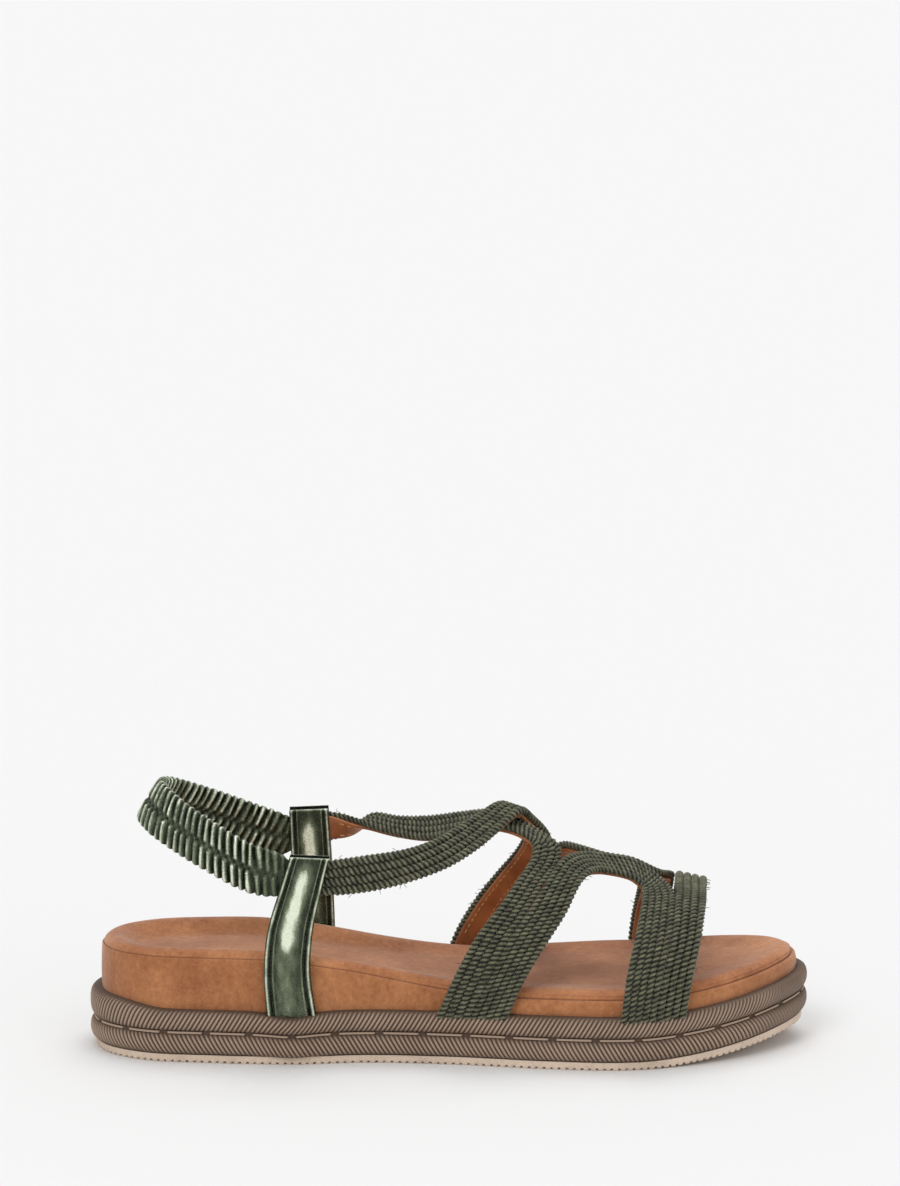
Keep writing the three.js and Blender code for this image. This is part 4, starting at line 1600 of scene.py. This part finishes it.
# ---------------------------------------------------------------- heel strap
@dataclass
class HeelStrap:
    """A gathered leather tube over elastic, stitched along its middle."""

    bench: Workbench
    finishes: Finishes
    gather_pitch: float = 3.06
    flat_half: float = 0.7
    gather_depth: float = 1.75
    stretch_start: float = 72
    stretch_end: float = 24
    stretch_height: float = 70
    stations: Sequence[Station] = (
        (77, -31.7, 71.4, 77, -31.7, 63.8),
        (73.5, -31.6, 73.2, 72.5, -31.7, 62),
        (69.5, -31.2, 75.9, 66.5, -31.7, 60.2),
        (60, -30.3, 78.5, 56.5, -30.8, 62.6),
        (48, -26.4, 84.4, 43.5, -26.6, 68.6),
        (37, -18.4, 90, 31, -19.4, 74.6),
        (29.6, -9.2, 94, 22, -10.4, 79.2),
        (26.6, 0.3, 95.6, 18.2, 0, 81.6),
        (29.6, 9.4, 94.3, 22, 10.4, 79.6),
        (37, 18.4, 90.4, 31, 19.4, 75.2),
        (48, 25.8, 85.2, 43.5, 26.4, 69.4),
        (60, 29.9, 79.9, 56.5, 30.8, 63.8),
        (69, 31, 76.6, 66, 31.7, 60.8),
        (73, 31.6, 74.2, 72, 31.7, 63),
        (76.5, 31.7, 72.6, 76.5, 31.7, 64.8),
    )

    def cover(self, band: Band) -> Piece:
        """The gathered cover: ribs from edge to edge that meet in a stitched middle line.

        Args:
            band: the strap's band.

        Returns:
            The finished piece.
        """
        ts = band.even(self.gather_pitch / 11)
        run = run_length(band.middle(ts))
        end = np.minimum(ts, 1 - ts)[:, None]
        inside = 0.5 * smooth(0.09, 0.125, end) + 0.5 * smooth(0.145, 0.2, end)
        random = np.random.default_rng(7)
        knots = np.arange(0, run[-1] + 2 * self.gather_pitch, self.gather_pitch)
        jitter = np.interp(run, knots, random.uniform(-0.14, 0.14, len(knots)))[:, None]
        vigour = np.interp(run, knots, random.uniform(0.68, 1.14, len(knots)))[:, None]
        angles = np.linspace(0, 2 * math.pi, 44, endpoint=False)
        share = 0.5 - 0.5 * np.sign(np.cos(angles)) * np.abs(np.cos(angles)) ** 0.8
        face = np.sign(np.sin(angles)) * np.abs(np.sin(angles)) ** 0.5
        half_turn = 0.25 * np.tanh((share - 0.5) * 18)
        phase = run[:, None] / self.gather_pitch + jitter + half_turn + 1.5 * (share - 0.5)
        rib = np.abs(np.sin(math.pi * phase)) ** 0.8
        pinch = 1 - 0.5 * np.exp(-(((share - 0.5) / 0.045) ** 2))
        height = self.flat_half + self.gather_depth * rib * vigour * pinch * inside
        shares = 0.5 + (share - 0.5) * (0.93 + 0.12 * rib * inside)
        points = band.surface(ts, shares, face * height)
        # Painted light: narrow painted highlights on the gathers' crests and painted shade in the valleys
        # between them; the flat ends get a middling dark value.
        ridge = rib**3 * pinch * vigour * inside * 0.95 + 0.3 * (1 - inside)
        rows = np.concatenate([points, ridge[..., None]], axis=2)
        piece = self.bench.skin("gathered_heel_cover", rows, around=True)
        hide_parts("heel_strap_cover", "heel_strap_end_lateral", "heel_strap_end_medial")
        self.finishes.dress(piece, self.finishes.metallic)
        return piece

    def middle_stitches(self, band: Band) -> Piece:
        """The stitch line along the middle of the cover, on both faces.

        Args:
            band: the strap's band.

        Returns:
            The finished piece.
        """
        ts = band.even(self.gather_pitch, 0.13, 0.87)
        height = self.flat_half + 0.35
        seams = [band.seam(ts, 0.5, sign * height, sign) for sign in (1, -1)]
        piece = stitches(self.bench, "heel_stitching", seams, 2.2, 0.55)
        self.finishes.dress(piece, self.finishes.thread)
        return piece

    def webbing(self, band: Band) -> Piece:
        """The elastic inside the cover.

        Args:
            band: the strap's band.

        Returns:
            The finished piece.
        """
        shares = np.array([0.12, 0.14, 0.5, 0.86, 0.88, 0.86, 0.5, 0.14])
        heights = np.array([0, 0.45, 0.5, 0.45, 0, -0.45, -0.5, -0.45])
        rows = band.surface(band.even(1.5, 0.11, 0.89), shares, heights)
        piece = self.bench.skin("heel_webbing", rows, around=True)
        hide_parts("heel_strap_elastic")
        self.finishes.dress(piece, self.finishes.webbing)
        return piece

    def build(self) -> None:
        """Builds the strap's pieces and bakes their transforms, without putting them on any body."""
        band = Band(self.stations, -1)
        start, end = (
            tuple(self.bench.to_row(np.array([[x, 0.0, self.stretch_height]]))[0])
            for x in (self.stretch_start, self.stretch_end)
        )
        for piece in (self.cover(band), self.middle_stitches(band), self.webbing(band)):
            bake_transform(piece)
            self.bench.log(piece)


# ---------------------------------------------------------------- studio
@dataclass
class Studio:
    """Pale floor, soft lights and the camera."""

    bench: Workbench
    floor_size: float = 120
    floor_grey: float = 0.845
    sensor: float = 36
    distance: float = 1.5
    elevation: float = 13.5
    frame_height: float = 0.427
    object_drop: float = 0.1214
    target: tuple[float, float, float] = (129, 0, 40.7)
    horizon: float = 0.92
    low_sky: float = 0.45
    high_sky: float = 0.6

    def floor(self) -> None:
        """A wide pale floor."""
        bpy.ops.object.select_all(action="DESELECT")
        bpy.ops.mesh.primitive_plane_add(size=self.floor_size, location=(0, 0, 0))
        floor = bpy.context.active_object
        floor.name = "floor"
        nodes = Nodes("pale_floor")
        nodes.set(Base_Color=(*[self.floor_grey] * 3, 1), Roughness=0.95, Specular_IOR_Level=0.0)
        floor.data.materials.append(nodes.material)

    def sun(self, name: str, azimuth: float, height: float, spread: float, strength: float) -> None:
        """A soft distant light.

        Args:
            name: the light's name.
            azimuth: where it stands, in degrees from the front of the picture towards the toe.
            height: degrees above the ground.
            spread: its angular size in degrees.
            strength: its irradiance.
        """
        data = bpy.data.lights.new(name, "SUN")
        data.angle, data.energy = math.radians(spread), strength
        lamp = bpy.data.objects.new(name, data)
        bpy.context.scene.collection.objects.link(lamp)
        a, h = math.radians(azimuth), math.radians(height)
        towards = Vector((math.sin(a) * math.cos(h), -math.cos(a) * math.cos(h), math.sin(h)))
        lamp.rotation_euler = towards.to_track_quat("Z", "Y").to_euler()

    def world(self) -> None:
        """A surround that meets the floor at the horizon, is darker above it and bright overhead."""
        world = bpy.data.worlds.new("surround")
        bpy.context.scene.world = world
        world.use_nodes = True
        tree = world.node_tree
        place = tree.nodes.new("ShaderNodeTexCoord")
        split = tree.nodes.new("ShaderNodeSeparateXYZ")
        ramp = tree.nodes.new("ShaderNodeValToRGB")
        tree.links.new(place.outputs["Generated"], split.inputs["Vector"])
        tree.links.new(split.outputs["Z"], ramp.inputs["Fac"])
        tree.links.new(ramp.outputs["Color"], tree.nodes["Background"].inputs["Color"])
        elements = ramp.color_ramp.elements
        levels = (
            (0.0, self.horizon), (0.06, self.horizon),
            (0.22, self.low_sky), (0.55, self.low_sky),
            (1.0, self.high_sky),
        )
        while len(elements) < len(levels):
            elements.new(0.5)
        for element, (height, level) in zip(elements, levels):
            element.position, element.color = height, (level, level, level, 1)

    def camera(self) -> None:
        """The camera, low on the outer side."""
        data = bpy.data.cameras.new("camera")
        data.sensor_width = self.sensor
        data.lens = self.sensor * self.distance / self.frame_height
        camera = bpy.data.objects.new("camera", data)
        bpy.context.scene.collection.objects.link(camera)
        aim = Vector(self.bench.to_row(np.array([self.target]))[0])
        angle = math.radians(self.elevation)
        camera.location = aim + self.distance * Vector((0, -math.cos(angle), math.sin(angle)))
        down = self.elevation - math.degrees(math.atan2(self.object_drop, self.distance))
        camera.rotation_euler = (math.radians(90 - down), 0, 0)
        bpy.context.scene.camera = camera

    def build(self) -> None:
        """Sets everything up."""
        bpy.context.scene.view_settings.view_transform = "Standard"
        self.floor()
        self.world()
        self.sun("key", -28, 42, 28, 0.9)
        self.sun("fill", 40, 30, 50, 0.3)
        self.sun("overhead", 160, 72, 44, 1.15)
        self.camera()


# ---------------------------------------------------------------- everything
def dress_hidden(frame: dict, finishes: Finishes) -> None:
    """Gives the inner pieces, kept from the frame, their materials.

    Args:
        frame: the loaded frame.
        finishes: the finishes.
    """
    inner = {
        "midsole_block": finishes.foam,
        "footbed_core": finishes.foam,
        "footbed_foam": finishes.foam,
        "insole_board": finishes.board,
    }
    for node, finish in inner.items():
        mesh = frame["nodes"][node].data
        mesh.materials.clear()
        mesh.materials.append(finishes.of(finish))


def main() -> None:
    """Builds the sandal's looks and the studio."""
    logging.basicConfig(level=logging.INFO, format="%(name)s %(message)s")
    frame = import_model()
    bench = Workbench(SOLE)
    finishes = Finishes()
    SoleUnit(bench, finishes).build()
    Footbed(bench, finishes).build()
    for tape in tapes(bench, finishes):
        tape.build()
    for strap in ankle_straps(bench, finishes):
        strap.build()
    HeelStrap(bench, finishes).build()
    dress_hidden(frame, finishes)
    Studio(bench).build()


if __name__ == "__main__":
    main()
